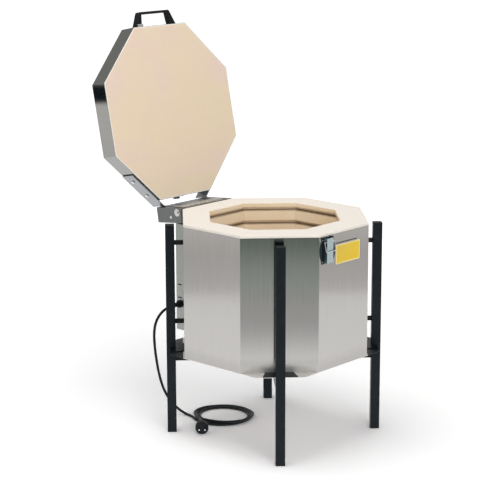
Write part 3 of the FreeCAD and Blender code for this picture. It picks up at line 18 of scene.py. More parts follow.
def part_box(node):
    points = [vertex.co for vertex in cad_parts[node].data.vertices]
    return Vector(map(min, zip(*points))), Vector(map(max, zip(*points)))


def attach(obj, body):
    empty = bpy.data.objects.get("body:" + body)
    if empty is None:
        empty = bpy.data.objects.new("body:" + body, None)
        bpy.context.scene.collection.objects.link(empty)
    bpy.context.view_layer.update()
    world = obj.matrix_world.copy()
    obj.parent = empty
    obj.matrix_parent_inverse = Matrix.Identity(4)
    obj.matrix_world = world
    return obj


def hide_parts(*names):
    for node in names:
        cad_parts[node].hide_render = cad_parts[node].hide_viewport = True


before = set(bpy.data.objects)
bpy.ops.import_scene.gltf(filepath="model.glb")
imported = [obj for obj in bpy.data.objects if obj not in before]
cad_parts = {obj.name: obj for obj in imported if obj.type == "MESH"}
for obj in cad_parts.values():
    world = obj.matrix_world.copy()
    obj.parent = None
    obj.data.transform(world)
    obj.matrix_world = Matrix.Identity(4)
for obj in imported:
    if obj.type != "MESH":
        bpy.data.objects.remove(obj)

LOG = logging.getLogger("kiln")
Colour = tuple[float, float, float]
Value = Union["Signal", float, Sequence[float]]
FACETS = 8
DIAGONAL = math.sqrt(0.5)
MM = 0.001
SMOOTH_BELOW = math.radians(35)


class Body(Enum):
    """The rigid bodies that pieces ride on."""

    KILN = "kiln"
    LID = "lid"
    LEVER = "latch_lever"
    BAIL = "latch_bail"


class Grain(Enum):
    """The way that rolling or brushing runs on a sheet, as stretches of the noise along X, Y, Z."""

    UPRIGHT = (420.0, 420.0, 5.0)
    LEVEL = (6.0, 6.0, 520.0)


class Signal:
    """A shader socket that adds Math nodes when it meets an operator."""

    def __init__(self, graph: "Graph", socket: bpy.types.NodeSocket) -> None:
        """Keep the socket and the graph that owns it."""
        self.graph = graph
        self.socket = socket

    def __add__(self, other: Value) -> "Signal":
        """This plus another value."""
        return self.graph.math("ADD", self, other)

    def __radd__(self, other: Value) -> "Signal":
        """Another value plus this."""
        return self.graph.math("ADD", other, self)

    def __sub__(self, other: Value) -> "Signal":
        """This less another value."""
        return self.graph.math("SUBTRACT", self, other)

    def __mul__(self, other: Value) -> "Signal":
        """This times another value."""
        return self.graph.math("MULTIPLY", self, other)

    def __abs__(self) -> "Signal":
        """The size of this without its sign."""
        return self.graph.math("ABSOLUTE", self)

    def ramp(self, low: float, high: float, start: float = 0.0, end: float = 1.0) -> "Signal":
        """Smooth step of this signal.

        Args:
            low: Value of the signal where the step starts.
            high: Value of the signal where the step ends.
            start: Result before the step.
            end: Result after the step.

        Returns:
            The stepped signal.
        """
        node = self.graph.node(
            "ShaderNodeMapRange", {"interpolation_type": "SMOOTHSTEP"},
            {"Value": self, "From Min": low, "From Max": high, "To Min": start, "To Max": end})
        return Signal(self.graph, node.outputs["Result"])


class Graph:
    """A node tree with short calls for what the finishes use."""

    def __init__(self, tree: bpy.types.NodeTree) -> None:
        """Keep the tree."""
        self.tree = tree

    def feed(self, socket: bpy.types.NodeSocket, value: Value) -> None:
        """Link a signal to a socket, or set the socket's own value."""
        if isinstance(value, Signal):
            self.tree.links.new(value.socket, socket)
        else:
            socket.default_value = value

    def node(self, kind: str, settings: Optional[Mapping[str, object]] = None,
             sockets: Optional[Mapping[Union[int, str], Value]] = None) -> bpy.types.Node:
        """Add any node.

        Args:
            kind: The node's type.
            settings: Its settings, which are set first; "stops" are a ramp's places and colours.
            sockets: Values or signals of its input sockets, by name or number.

        Returns:
            The new node.
        """
        made = self.tree.nodes.new(kind)
        for name, setting in (settings or {}).items():
            if name == "stops":
                for index, (place, colour) in enumerate(setting):
                    known = made.color_ramp.elements
                    stop = known[index] if index < len(known) else known.new(place)
                    stop.position = place
                    stop.color = (*colour, 1.0)
            else:
                setattr(made, name, setting)
        for name, value in (sockets or {}).items():
            self.feed(made.inputs[name], value)
        return made

    def math(self, operation: str, *values: Value) -> Signal:
        """Add a Math node."""
        node = self.node("ShaderNodeMath", {"operation": operation}, dict(enumerate(values)))
        return Signal(self, node.outputs[0])

    def place(self, scale: Sequence[float] = (1.0, 1.0, 1.0),
              turn: Sequence[float] = (0.0, 0.0, 0.0),
              shift: Sequence[float] = (0.0, 0.0, 0.0)) -> Signal:
        """The object's own coordinates, stretched, turned and moved."""
        source = self.node("ShaderNodeTexCoord")
        mapped = self.node("ShaderNodeMapping", None, {
            "Vector": Signal(self, source.outputs["Object"]), "Scale": scale,
            "Rotation": turn, "Location": shift})
        return Signal(self, mapped.outputs[0])

    def axes(self, place: Signal) -> tuple[Signal, Signal, Signal]:
        """The three numbers of a vector."""
        node = self.node("ShaderNodeSeparateXYZ", None, {0: place})
        return tuple(Signal(self, output) for output in node.outputs)

    def reach(self, place: Signal) -> Signal:
        """How far out a place is, measured square to the nearest of the eight sides."""
        x, y, _ = self.axes(place)
        square = self.math("MAXIMUM", abs(x), abs(y))
        slant = self.math("MAXIMUM", abs(x + y), abs(x - y)) * DIAGONAL
        return self.math("MAXIMUM", square, slant)

    def noise(self, place: Signal, scale: float, detail: float = 2.0,
              rough: float = 0.5) -> Signal:
        """Soft noise from 0 to 1."""
        node = self.node("ShaderNodeTexNoise", None, {
            "Vector": place, "Scale": scale, "Detail": detail, "Roughness": rough})
        return Signal(self, node.outputs[0])

    def mix(self, share: Value, first: Value, second: Value) -> Signal:
        """A colour between two colours."""
        def full(colour: Value) -> Value:
            """A colour with its fourth number."""
            return colour if isinstance(colour, Signal) else (*colour, 1.0)
        node = self.node("ShaderNodeMix", {"data_type": "RGBA"},
                         {0: share, 6: full(first), 7: full(second)})
        return Signal(self, node.outputs[2])

    def bump(self, height: Signal, depth: float, edge: float = 0.0,
             strength: float = 1.0) -> Signal:
        """A normal from a height.

        Args:
            height: The height, from 0 to 1.
            depth: The real depth of a height of 1, in metres.
            edge: Radius of the rounded edges under the bump, in metres, or 0.
            strength: Share of the bump that shows.

        Returns:
            The bumped normal.
        """
        sockets = {"Strength": strength, "Distance": depth, "Height": height}
        if edge:
            sockets["Normal"] = self.rounded(edge)
        return Signal(self, self.node("ShaderNodeBump", None, sockets).outputs[0])

    def rounded(self, radius: float) -> Signal:
        """A normal that rounds the edges."""
        node = self.node("ShaderNodeBevel", {"samples": 4}, {"Radius": radius})
        return Signal(self, node.outputs[0])


@dataclass(frozen=True)
class Finish:
    """A plain finish: the base of all the others."""

    name: str
    colour: Colour
    rough: float = 0.5
    metal: float = 0.0
    edge: float = 0.5 * MM

    def material(self) -> bpy.types.Material:
        """Make the material once, and find it again after that."""
        found = bpy.data.materials.get(self.name)
        if found:
            return found
        made = bpy.data.materials.new(self.name)
        made.use_nodes = True
        graph = Graph(made.node_tree)
        shader = made.node_tree.nodes["Principled BSDF"]
        for name, value in self.sockets(graph).items():
            graph.feed(shader.inputs[name], value)
        return made

    def sockets(self, graph: Graph) -> dict[str, Value]:
        """What the shader's sockets get.

        Args:
            graph: The material's tree.

        Returns:
            Values or signals by socket name.
        """
        return {"Base Color": (*self.colour, 1.0), "Roughness": self.rough,
                "Metallic": self.metal}


@dataclass(frozen=True)
class Steel(Finish):
    """Rolled sheet or turned metal, with a faint grain and smudges."""

    metal: float = 1.0
    grain: Grain = Grain.UPRIGHT
    streaks: float = 0.06
    smudge: float = 0.05
    relief: float = 0.01 * MM

    def sockets(self, graph: Graph) -> dict[str, Value]:
        """Grain in roughness and height, and a slow drift of tone."""
        fine = graph.noise(graph.place(self.grain.value), 1.0, 3.0, 0.6)
        slow = graph.noise(graph.place(), 5.0, 2.0)
        dark = tuple(part * (1.0 - self.streaks) for part in self.colour)
        return {
            "Base Color": graph.mix(fine.ramp(0.3, 0.7), dark, self.colour),
            "Roughness": self.rough + (fine - 0.5) * self.streaks + (slow - 0.5) * self.smudge,
            "Metallic": self.metal,
            "Normal": graph.bump(fine, self.relief, self.edge),
        }


@dataclass(frozen=True)
class JacketSteel(Steel):
    """Sheet that is polished above and rubbed satin near its lower edge."""

    satin: float = 0.32
    satin_from: float = 0.292
    satin_to: float = 0.345

    def sockets(self, graph: Graph) -> dict[str, Value]:
        """The sheet's sockets, rougher towards the bottom."""
        values = super().sockets(graph)
        _, _, height = graph.axes(graph.place())
        values["Roughness"] += height.ramp(self.satin_from, self.satin_to, self.satin, 0.0)
        return values


@dataclass(frozen=True)
class PanSteel(Steel):
    """Pale sheet whose corners at the side legs are painted."""

    paint: Colour = (0.006, 0.010, 0.013)
    paint_from: float = 0.298
    paint_fade: float = 1.5 * MM

    def sockets(self, graph: Graph) -> dict[str, Value]:
        """The sheet's sockets, dark beyond a distance towards the side legs."""
        values = super().sockets(graph)
        x, y, _ = graph.axes(graph.place())
        out = abs(x - y) * DIAGONAL
        mask = out.ramp(self.paint_from, self.paint_from + self.paint_fade)
        values["Base Color"] = graph.mix(mask, values["Base Color"], self.paint)
        values["Metallic"] = mask.ramp(0.0, 1.0, self.metal, 0.0)
        return values


@dataclass(frozen=True)
class Firebrick(Finish):
    """Porous cream insulating brick."""

    rough: float = 0.92
    second: Colour = (0.72, 0.56, 0.42)
    pore: Colour = (0.50, 0.37, 0.25)
    pore_share: float = 0.45
    pore_deep: float = 0.35 * MM
    edge: float = 1.5 * MM

    def tone(self, graph: Graph) -> Signal:
        """The colour before pores, drifting slowly between two tones."""
        return graph.mix(graph.noise(graph.place(), 9.0, 3.0).ramp(0.35, 0.65),
                         self.colour, self.second)

    def relief(self, graph: Graph, pores: Signal) -> Signal:
        """The height of the surface, from 0 to 1."""
        return graph.noise(graph.place(), 260.0, 3.0) * 0.5 - pores * 0.5 + 0.5

    def sockets(self, graph: Graph) -> dict[str, Value]:
        """Fine pores over a drifting tone."""
        pores = graph.noise(graph.place(), 620.0, 2.0, 0.6).ramp(0.60, 0.72)
        return {
            "Base Color": graph.mix(pores * self.pore_share, self.tone(graph), self.pore),
            "Roughness": self.rough,
            "Normal": graph.bump(self.relief(graph, pores), self.pore_deep, self.edge, 0.6),
            "Specular IOR Level": 0.25,
        }


@dataclass(frozen=True)
class WallBrick(Firebrick):
    """Wall brick with a paler, sealed rim."""

    rim: Colour = (0.83, 0.775, 0.700)
    rim_height: float = 0.728
    rim_from: float = 0.262
    rim_fade: float = 4.0 * MM

    def tone(self, graph: Graph) -> Signal:
        """Paler on the rim and outside it than in the chamber."""
        place = graph.place()
        _, _, height = graph.axes(place)
        above = height.ramp(self.rim_height - 2.2 * MM, self.rim_height - 0.6 * MM)
        outside = graph.reach(place).ramp(self.rim_from, self.rim_from + self.rim_fade)
        return graph.mix(graph.math("MAXIMUM", above, outside), super().tone(graph), self.rim)


@dataclass(frozen=True)
class LidBrick(Firebrick):
    """Slab of cemented bricks, each a little different, with hairline joints."""

    joint: Colour = (0.66, 0.52, 0.38)
    joint_share: float = 0.12
    # Painted highlight: a pale band along the slab's outer edge, standing in for light on its
    # rounded edge
    painted_highlight: Colour = (0.95, 0.91, 0.84)
    open_angle: float = math.radians(101.5)
    hinge: tuple[float, float] = (0.350, 0.692)
    inradius: float = 0.288
    painted_highlight_wide: float = 2.2 * MM
    painted_highlight_fade: float = 0.8 * MM
    brick_long: float = 0.114
    brick_wide: float = 0.076
    bond_offset: float = 0.42
    joint_wide: float = 0.4 * MM

    def slab(self, graph: Graph) -> Signal:
        """Places in the slab, as it lies when the lid is shut."""
        hinge = Vector((0.0, *self.hinge))
        turn = Matrix.Rotation(self.open_angle, 3, "X")
        return graph.place(turn=(self.open_angle, 0.0, 0.0), shift=hinge - turn @ hinge)

    def blocks(self, graph: Graph, place: Signal) -> bpy.types.Node:
        """The bond of bricks, drawn in the plane of the slab."""
        settings = {"offset": self.bond_offset, "offset_frequency": 2}
        return graph.node("ShaderNodeTexBrick", settings, {
            "Vector": place, "Color1": (0.0, 0.0, 0.0, 1.0), "Color2": (1.0, 1.0, 1.0, 1.0),
            "Mortar": (0.5, 0.5, 0.5, 1.0), "Scale": 1.0, "Mortar Size": self.joint_wide,
            "Mortar Smooth": 0.2, "Brick Width": self.brick_long,
            "Row Height": self.brick_wide})

    def tone(self, graph: Graph) -> Signal:
        """One tone a brick, with drift inside it, a hairline joint and a painted highlight along
        the outer edge.
        """
        place = self.slab(graph)
        bond = self.blocks(graph, place)
        tones = Signal(graph, bond.outputs["Color"])
        slow = graph.noise(graph.place(), 6.0, 3.0)
        mixed = graph.mix(slow.ramp(0.3, 0.7), graph.mix(tones, self.colour, self.second),
                          self.colour)
        jointed = graph.mix(Signal(graph, bond.outputs["Fac"]) * self.joint_share, mixed,
                            self.joint)
        # Painted highlight: the outermost band of the slab is made pale, standing in for light on
        # its rounded edge
        edge = self.inradius - self.painted_highlight_wide
        painted_highlight = graph.reach(place).ramp(edge, edge + self.painted_highlight_fade)
        return graph.mix(painted_highlight, jointed, self.painted_highlight)


@dataclass(frozen=True)
class Paint(Finish):
    """Powder coat with a fine orange peel."""

    rough: float = 0.36
    peel: float = 0.03 * MM
    sheen: float = 0.18

    def sockets(self, graph: Graph) -> dict[str, Value]:
        """Orange peel in the height and a little dust in the tone."""
        peel = graph.noise(graph.place(), 900.0, 2.0)
        dust = graph.noise(graph.place(), 24.0, 4.0, 0.6).ramp(0.45, 0.8)
        pale = tuple(part * 1.7 + 0.004 for part in self.colour)
        return {
            "Base Color": graph.mix(dust * 0.5, self.colour, pale),
            "Roughness": self.rough + dust * 0.10,
            "Metallic": self.metal,
            "Normal": graph.bump(peel, self.peel, self.edge),
            "Specular IOR Level": self.sheen,
        }


@dataclass(frozen=True)
class Rubber(Paint):
    """Matt rubber or moulded plastic."""

    rough: float = 0.52
    peel: float = 0.05 * MM


@dataclass(frozen=True)
class Wire(Finish):
    """Oxidised heating wire, mottled between two tones."""

    rough: float = 0.55
    metal: float = 0.6
    burnt: Colour = (0.05, 0.035, 0.028)

    def sockets(self, graph: Graph) -> dict[str, Value]:
        """Mottled oxide."""
        spots = graph.noise(graph.place(), 300.0, 3.0).ramp(0.35, 0.65)
        return {"Base Color": graph.mix(spots, self.burnt, self.colour),
                "Roughness": self.rough + spots * 0.1, "Metallic": self.metal}


@dataclass(frozen=True)
class Fibre(Finish):
    """Pressed ceramic fibre, soft and white."""

    rough: float = 0.95

    def sockets(self, graph: Graph) -> dict[str, Value]:
        """Felted height and faint stains."""
        felt = graph.noise(graph.place((60.0, 60.0, 300.0)), 4.0, 4.0, 0.7)
        stain = tuple(part * 0.88 for part in self.colour)
        return {"Base Color": graph.mix(felt.ramp(0.4, 0.7), stain, self.colour),
                "Roughness": self.rough, "Normal": graph.bump(felt, 0.2 * MM, self.edge)}


@dataclass(frozen=True)
class Plate(Finish):
    """Printed tin plate, plain, with a paler border."""

    rough: float = 0.42
    border: Colour = (0.88, 0.76, 0.36)
    centre: tuple[float, float] = (0.0170, 0.6510)
    half: tuple[float, float] = (0.0590, 0.0310)
    border_wide: float = 3.0 * MM
    border_fade: float = 0.4 * MM

    def beyond(self, place: Signal, axis: int) -> Signal:
        """Whether a place lies in the border, along one axis of the plate."""
        edge = self.half[axis] - self.border_wide
        return abs(place - self.centre[axis]).ramp(edge - self.border_fade, edge)

    def sockets(self, graph: Graph) -> dict[str, Value]:
        """A border that follows the plate's edge, and a slight sheen drift."""
        x, _, z = graph.axes(graph.place())
        rim = graph.math("MAXIMUM", self.beyond(x, 0), self.beyond(z, 1))
        drift = graph.noise(graph.place(), 18.0, 3.0)
        return {"Base Color": graph.mix(rim, self.colour, self.border),
                "Roughness": self.rough + (drift - 0.5) * 0.12,
                "Normal": graph.bump(drift, 0.05 * MM, self.edge)}


CASING_STEEL = JacketSteel("casing_steel", (0.530, 0.515, 0.500), rough=0.11)
PAN_STEEL = PanSteel("pan_steel", (0.86, 0.80, 0.78), rough=0.45, metal=0.4)
BAND_STEEL = Steel("band_steel", (0.37, 0.37, 0.36), rough=0.05, grain=Grain.LEVEL, smudge=0.02)
FOLDED_STEEL = Steel("folded_steel", (0.21, 0.22, 0.22), rough=0.30, streaks=0.12)
LOUVRE_STEEL = Steel("louvre_steel", (0.74, 0.76, 0.80), rough=0.30)
BOX_STEEL = Steel("box_steel", (0.36, 0.38, 0.36), rough=0.36)
ARM_STEEL = Steel("arm_steel", (0.40, 0.41, 0.43), rough=0.28, streaks=0.15)
CHEEK_STEEL = Steel("latch_cheek_steel", (0.085, 0.120, 0.140), rough=0.34)
LEVER_STEEL = Steel("latch_lever_steel", (0.50, 0.62, 0.64), rough=0.30)
ZINC = Steel("bright_zinc", (0.78, 0.78, 0.77), rough=0.20)
BLACK_PAINT = Paint("black_powder_coat", (0.0045, 0.0085, 0.0125))
BLACK_PLASTIC = Rubber("black_moulded_plastic", (0.006, 0.008, 0.010))
CORD_RUBBER = Rubber("cord_sheath", (0.008, 0.010, 0.013), rough=0.42)
WALL_BRICK = WallBrick("wall_firebrick", (0.95, 0.81, 0.62), second=(0.92, 0.76, 0.54))
FLOOR_BRICK = Firebrick("floor_firebrick", (0.92, 0.78, 0.58))
LID_BRICK = LidBrick("lid_firebrick", (0.815, 0.675, 0.495), second=(0.825, 0.650, 0.545))
FIBRE = Fibre("ceramic_fibre", (0.90, 0.88, 0.84))
WIRE = Wire("element_wire", (0.30, 0.21, 0.14), burnt=(0.12, 0.08, 0.05))
CERAMIC = Fibre("glazed_ceramic", (0.86, 0.83, 0.77), rough=0.4)
YELLOW_PLATE = Plate("plain_yellow_plate", (0.78, 0.53, 0.025), edge=0.3 * MM)


def dress(finish: Finish, *nodes: str) -> None:
    """Give CAD nodes a finish.

    Args:
        finish: The finish.
        nodes: Names of the nodes.
    """
    for name in nodes:
        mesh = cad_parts[name].data
        mesh.materials.clear()
        mesh.materials.append(finish.material())
        LOG.info("dressed %s in %s", name, finish.name)


def place_in_mesh(piece: bpy.types.Object, matrix: Matrix = Matrix.Identity(4)) -> None:
    """Move a mesh's place into its vertices, so that its object is at the origin."""
    bpy.context.view_layer.update()
    piece.data.transform(matrix @ piece.matrix_world)
    piece.matrix_world = Matrix.Identity(4)


def select_only(piece: bpy.types.Object) -> None:
    """Make a piece the one selected and active object."""
    bpy.ops.object.select_all(action="DESELECT")
    piece.select_set(True)
    bpy.context.view_layer.objects.active = piece


class Modeller:
    """One mesh that is shaped in edit mode, as by hand."""

    def __init__(self, name: str, add: Callable[..., object], **settings: object) -> None:
        """Start from a primitive.

        Args:
            name: The piece's name.
            add: The operator that adds the primitive.
            settings: What the operator is given.
        """
        bpy.ops.object.select_all(action="DESELECT")
        add(**settings)
        self.piece = bpy.context.active_object
        self.piece.name = name
        self.piece.data.name = name
        bpy.ops.object.transform_apply(location=True, rotation=True, scale=True)

    def pick(self, wanted: Callable[[bpy.types.MeshPolygon], bool]) -> None:
        """Select the faces that pass a test, in edit mode."""
        bpy.ops.object.mode_set(mode="EDIT")
        bpy.ops.mesh.select_mode(type="FACE")
        bpy.ops.mesh.select_all(action="DESELECT")
        bpy.ops.object.mode_set(mode="OBJECT")
        for face in self.piece.data.polygons:
            face.select = wanted(face)
        bpy.ops.object.mode_set(mode="EDIT")

    def extrude(self, move: Sequence[float], scale: Sequence[float] = (1.0, 1.0, 1.0)) -> None:
        """Extrude what is selected and scale it about its own middle."""
        bpy.ops.mesh.extrude_region_move(TRANSFORM_OT_translate={"value": move})
        if tuple(scale) != (1.0, 1.0, 1.0):
            bpy.ops.transform.resize(value=scale)

    def inset(self, wide: float) -> None:
        """Inset what is selected."""
        bpy.ops.mesh.inset(thickness=wide, depth=0.0)

    def apply(self, name: str, kind: str, **settings: object) -> None:
        """Add a modifier to the piece and apply it.

        Args:
            name: The modifier's name.
            kind: Its type.
            settings: Its settings.
        """
        modifier = self.piece.modifiers.new(name, kind)
        for setting, value in settings.items():
            setattr(modifier, setting, value)
        bpy.ops.object.modifier_apply(modifier=name)

    def bevel(self, wide: float) -> None:
        """Round the sharp edges with a modifier and apply it."""
        bpy.ops.object.mode_set(mode="OBJECT")
        select_only(self.piece)
        self.apply("rounding", "BEVEL", width=wide, segments=2, limit_method="ANGLE",
                   angle_limit=SMOOTH_BELOW)

    def done(self, finish: Finish, matrix: Matrix = Matrix.Identity(4)) -> bpy.types.Object:
        """Merge, smooth and dress the piece and place it.

        Args:
            finish: The piece's finish.
            matrix: Where the piece goes.

        Returns:
            The finished piece.
        """
        if bpy.context.mode != "EDIT_MESH":
            bpy.ops.object.mode_set(mode="EDIT")
        bpy.ops.mesh.select_all(action="SELECT")
        bpy.ops.mesh.remove_doubles(threshold=0.00001)
        bpy.ops.mesh.normals_make_consistent(inside=False)
        bpy.ops.object.mode_set(mode="OBJECT")
        select_only(self.piece)
        bpy.ops.object.shade_smooth_by_angle(angle=SMOOTH_BELOW)
        place_in_mesh(self.piece, matrix)
        self.piece.data.materials.append(finish.material())
        return self.piece


@dataclass(frozen=True)
class Lamp:
    """A square soft lamp."""

    name: str
    place: tuple[float, float, float]
    aim: tuple[float, float, float]
    power: float
    wide: float

    def hang(self) -> None:
        """Hang the lamp and turn it to its aim."""
        data = bpy.data.lights.new(self.name, "AREA")
        data.energy = self.power
        data.size = self.wide
        lamp = bpy.data.objects.new(self.name, data)
        bpy.context.scene.collection.objects.link(lamp)
        lamp.location = self.place
        direction = Vector(self.aim) - Vector(self.place)
        lamp.rotation_euler = direction.to_track_quat("-Z", "Y").to_euler()


@dataclass
class Studio:
    """Floor, world, lamps and camera."""

    camera_place: tuple[float, float, float] = (-3.883, -3.425, 1.825)
    camera_turn: float = math.radians(-47.73)
    camera_down: float = math.radians(13.17)
    camera_roll: float = math.radians(-0.11)
    lens: float = 117.5
    sensor: float = 36.0
    floor_radius: float = 40.0
    floor_tone: float = 0.93
    floor_seen: float = 1.20
    floor_mirrored: float = 0.52
    wall_radius: float = 2.2
    wall_high: float = 3.0
    # Distances from the axis over which the floor turns white to the eye
    far: tuple[float, float] = (0.7, 4.0)
    far_glow: float = 0.6
    # Distances in front over which polished sheet mirrors a brighter floor
    ahead: tuple[float, float] = (1.95, 1.2)
    ahead_glow: float = 0.62
    curtain_edge: tuple[float, float] = (0.80, 0.90)
    world_level: float = 0.42
    lamps: tuple[Lamp, ...] = (
        Lamp("overhead", (-0.4, 0.4, 4.2), (0.0, 0.0, 0.4), power=85.0, wide=3.0),
        Lamp("front", (-2.6, -4.2, 2.0), (0.0, 0.2, 0.8), power=102.0, wide=2.8))
    # Height and colour of the curtain in front, which the front facet mirrors
    curtain: tuple[tuple[float, Colour], ...] = (
        (0.00, (0.48, 0.51, 0.49)), (0.147, (0.39, 0.44, 0.41)), (0.21, (0.29, 0.33, 0.30)),
        (0.27, (0.17, 0.21, 0.18)), (0.60, (0.10, 0.13, 0.11)))
    # Height and grey of the walls elsewhere, with the dark rail that the lid's band mirrors
    sides: tuple[tuple[float, Colour], ...] = (
        (0.00, (0.72, 0.71, 0.70)), (0.19, (0.62, 0.61, 0.60)), (0.42, (0.90, 0.89, 0.87)),
        (0.846, (0.98, 0.97, 0.94)), (0.851, (0.010, 0.016, 0.020)),
        (0.926, (0.010, 0.016, 0.020)), (0.931, (0.70, 0.71, 0.70)),
        (1.50, (0.66, 0.66, 0.65)), (1.90, (0.38, 0.38, 0.37)), (2.80, (0.30, 0.30, 0.29)))

    def camera(self) -> None:
        """The photograph's camera."""
        lens = bpy.data.cameras.new("camera")
        lens.sensor_width = self.sensor
        lens.lens = self.lens
        lens.clip_end = 200.0
        camera = bpy.data.objects.new("camera", lens)
        bpy.context.scene.collection.objects.link(camera)
        camera.matrix_world = (
            Matrix.Translation(self.camera_place)
            @ Matrix.Rotation(self.camera_turn, 4, "Z")
            @ Matrix.Rotation(math.pi / 2 - self.camera_down, 4, "X")
            @ Matrix.Rotation(self.camera_roll, 4, "Z"))
        bpy.context.scene.camera = camera

    def floor(self) -> None:
        """A round pale floor that reaches past the top of the picture."""
        bpy.ops.object.select_all(action="DESELECT")
        bpy.ops.mesh.primitive_circle_add(vertices=96, radius=self.floor_radius,
                                          fill_type="NGON", location=(0.0, 0.0, -0.0002))
        floor = bpy.context.active_object
        floor.name = "floor"
        place_in_mesh(floor)
        floor.data.materials.append(self.floor_material())

    def floor_material(self) -> bpy.types.Material:
        """Matt paper that the camera sees as white, with the kiln's shadow kept."""
        made = bpy.data.materials.new("floor_paper")
        made.use_nodes = True
        graph = Graph(made.node_tree)
        path = graph.node("ShaderNodeLightPath")
        seen = Signal(graph, path.outputs["Is Camera Ray"])
        mirrored = Signal(graph, path.outputs["Is Glossy Ray"])
        x, y, _ = graph.axes(graph.place())
        far = graph.math("SQRT", x * x + y * y).ramp(*self.far, 0.0, self.far_glow)
        ahead = ((x + y) * -DIAGONAL).ramp(*self.ahead, 0.0, self.ahead_glow)
        glow = seen * far + mirrored * ahead
        tone = graph.mix(mirrored, (self.floor_tone,) * 3, (self.floor_mirrored,) * 3)
        bright = (self.floor_seen,) * 3
        shader = made.node_tree.nodes["Principled BSDF"]
        for name, value in {
                "Base Color": graph.mix(seen, tone, bright), "Roughness": 0.9,
                "Specular IOR Level": 0.0, "Emission Strength": 1.0,
                "Emission Color": graph.mix(glow, (0.0, 0.0, 0.0), (1.0, 1.0, 1.0))}.items():
            graph.feed(shader.inputs[name], value)
        return made

    def wall(self) -> None:
        """The studio around the kiln, which only shows in polished sheet."""
        bpy.ops.object.select_all(action="DESELECT")
        bpy.ops.mesh.primitive_cylinder_add(
            vertices=96, radius=self.wall_radius, depth=self.wall_high, end_fill_type="NOTHING",
            location=(0.0, 0.0, self.wall_high / 2))
        wall = bpy.context.active_object
        wall.name = "studio_wall"
        place_in_mesh(wall)
        wall.data.materials.append(self.wall_material())
        wall.visible_camera = False
        wall.visible_diffuse = False
        wall.visible_shadow = False
        wall.visible_transmission = False

    def levels(self, graph: Graph, height: Signal,
               stops: Sequence[tuple[float, Colour]]) -> Signal:
        """Colours by height above the floor."""
        scaled = tuple((level / self.wall_high, colour) for level, colour in stops)
        node = graph.node("ShaderNodeValToRGB", {"stops": scaled},
                          {0: height * (1.0 / self.wall_high)})
        return Signal(graph, node.outputs[0])

    def wall_material(self) -> bpy.types.Material:
        """Grey walls, with a dark green curtain in front of the kiln."""
        made = bpy.data.materials.new("studio_wall")
        made.use_nodes = True
        graph = Graph(made.node_tree)
        made.node_tree.nodes.remove(made.node_tree.nodes["Principled BSDF"])
        x, y, height = graph.axes(graph.place())
        forward = (x + y) * (-DIAGONAL / self.wall_radius)
        glow = graph.node("ShaderNodeEmission", None, {
            "Color": graph.mix(forward.ramp(*self.curtain_edge),
                               self.levels(graph, height, self.sides),
                               self.levels(graph, height, self.curtain)),
            "Strength": 1.0})
        output = made.node_tree.nodes["Material Output"]
        made.node_tree.links.new(glow.outputs[0], output.inputs["Surface"])
        return made

    def world(self) -> None:
        """White to the eye, and softer as a light."""
        world = bpy.data.worlds.new("studio")
        world.use_nodes = True
        bpy.context.scene.world = world
        graph = Graph(world.node_tree)
        path = graph.node("ShaderNodeLightPath")
        seen = graph.math("MAXIMUM", Signal(graph, path.outputs["Is Camera Ray"]),
                          Signal(graph, path.outputs["Is Transmission Ray"]))
        background = world.node_tree.nodes["Background"]
        background.inputs["Color"].default_value = (1.0, 1.0, 1.0, 1.0)
        graph.feed(background.inputs["Strength"],
                   self.world_level + seen * (1.0 - self.world_level))

    def build(self) -> None:
        """Set the whole studio up."""
        scene = bpy.context.scene
        scene.view_settings.view_transform = "Standard"
        self.camera()
        self.floor()
        self.wall()
        self.world()
        for lamp in self.lamps:
            lamp.hang()


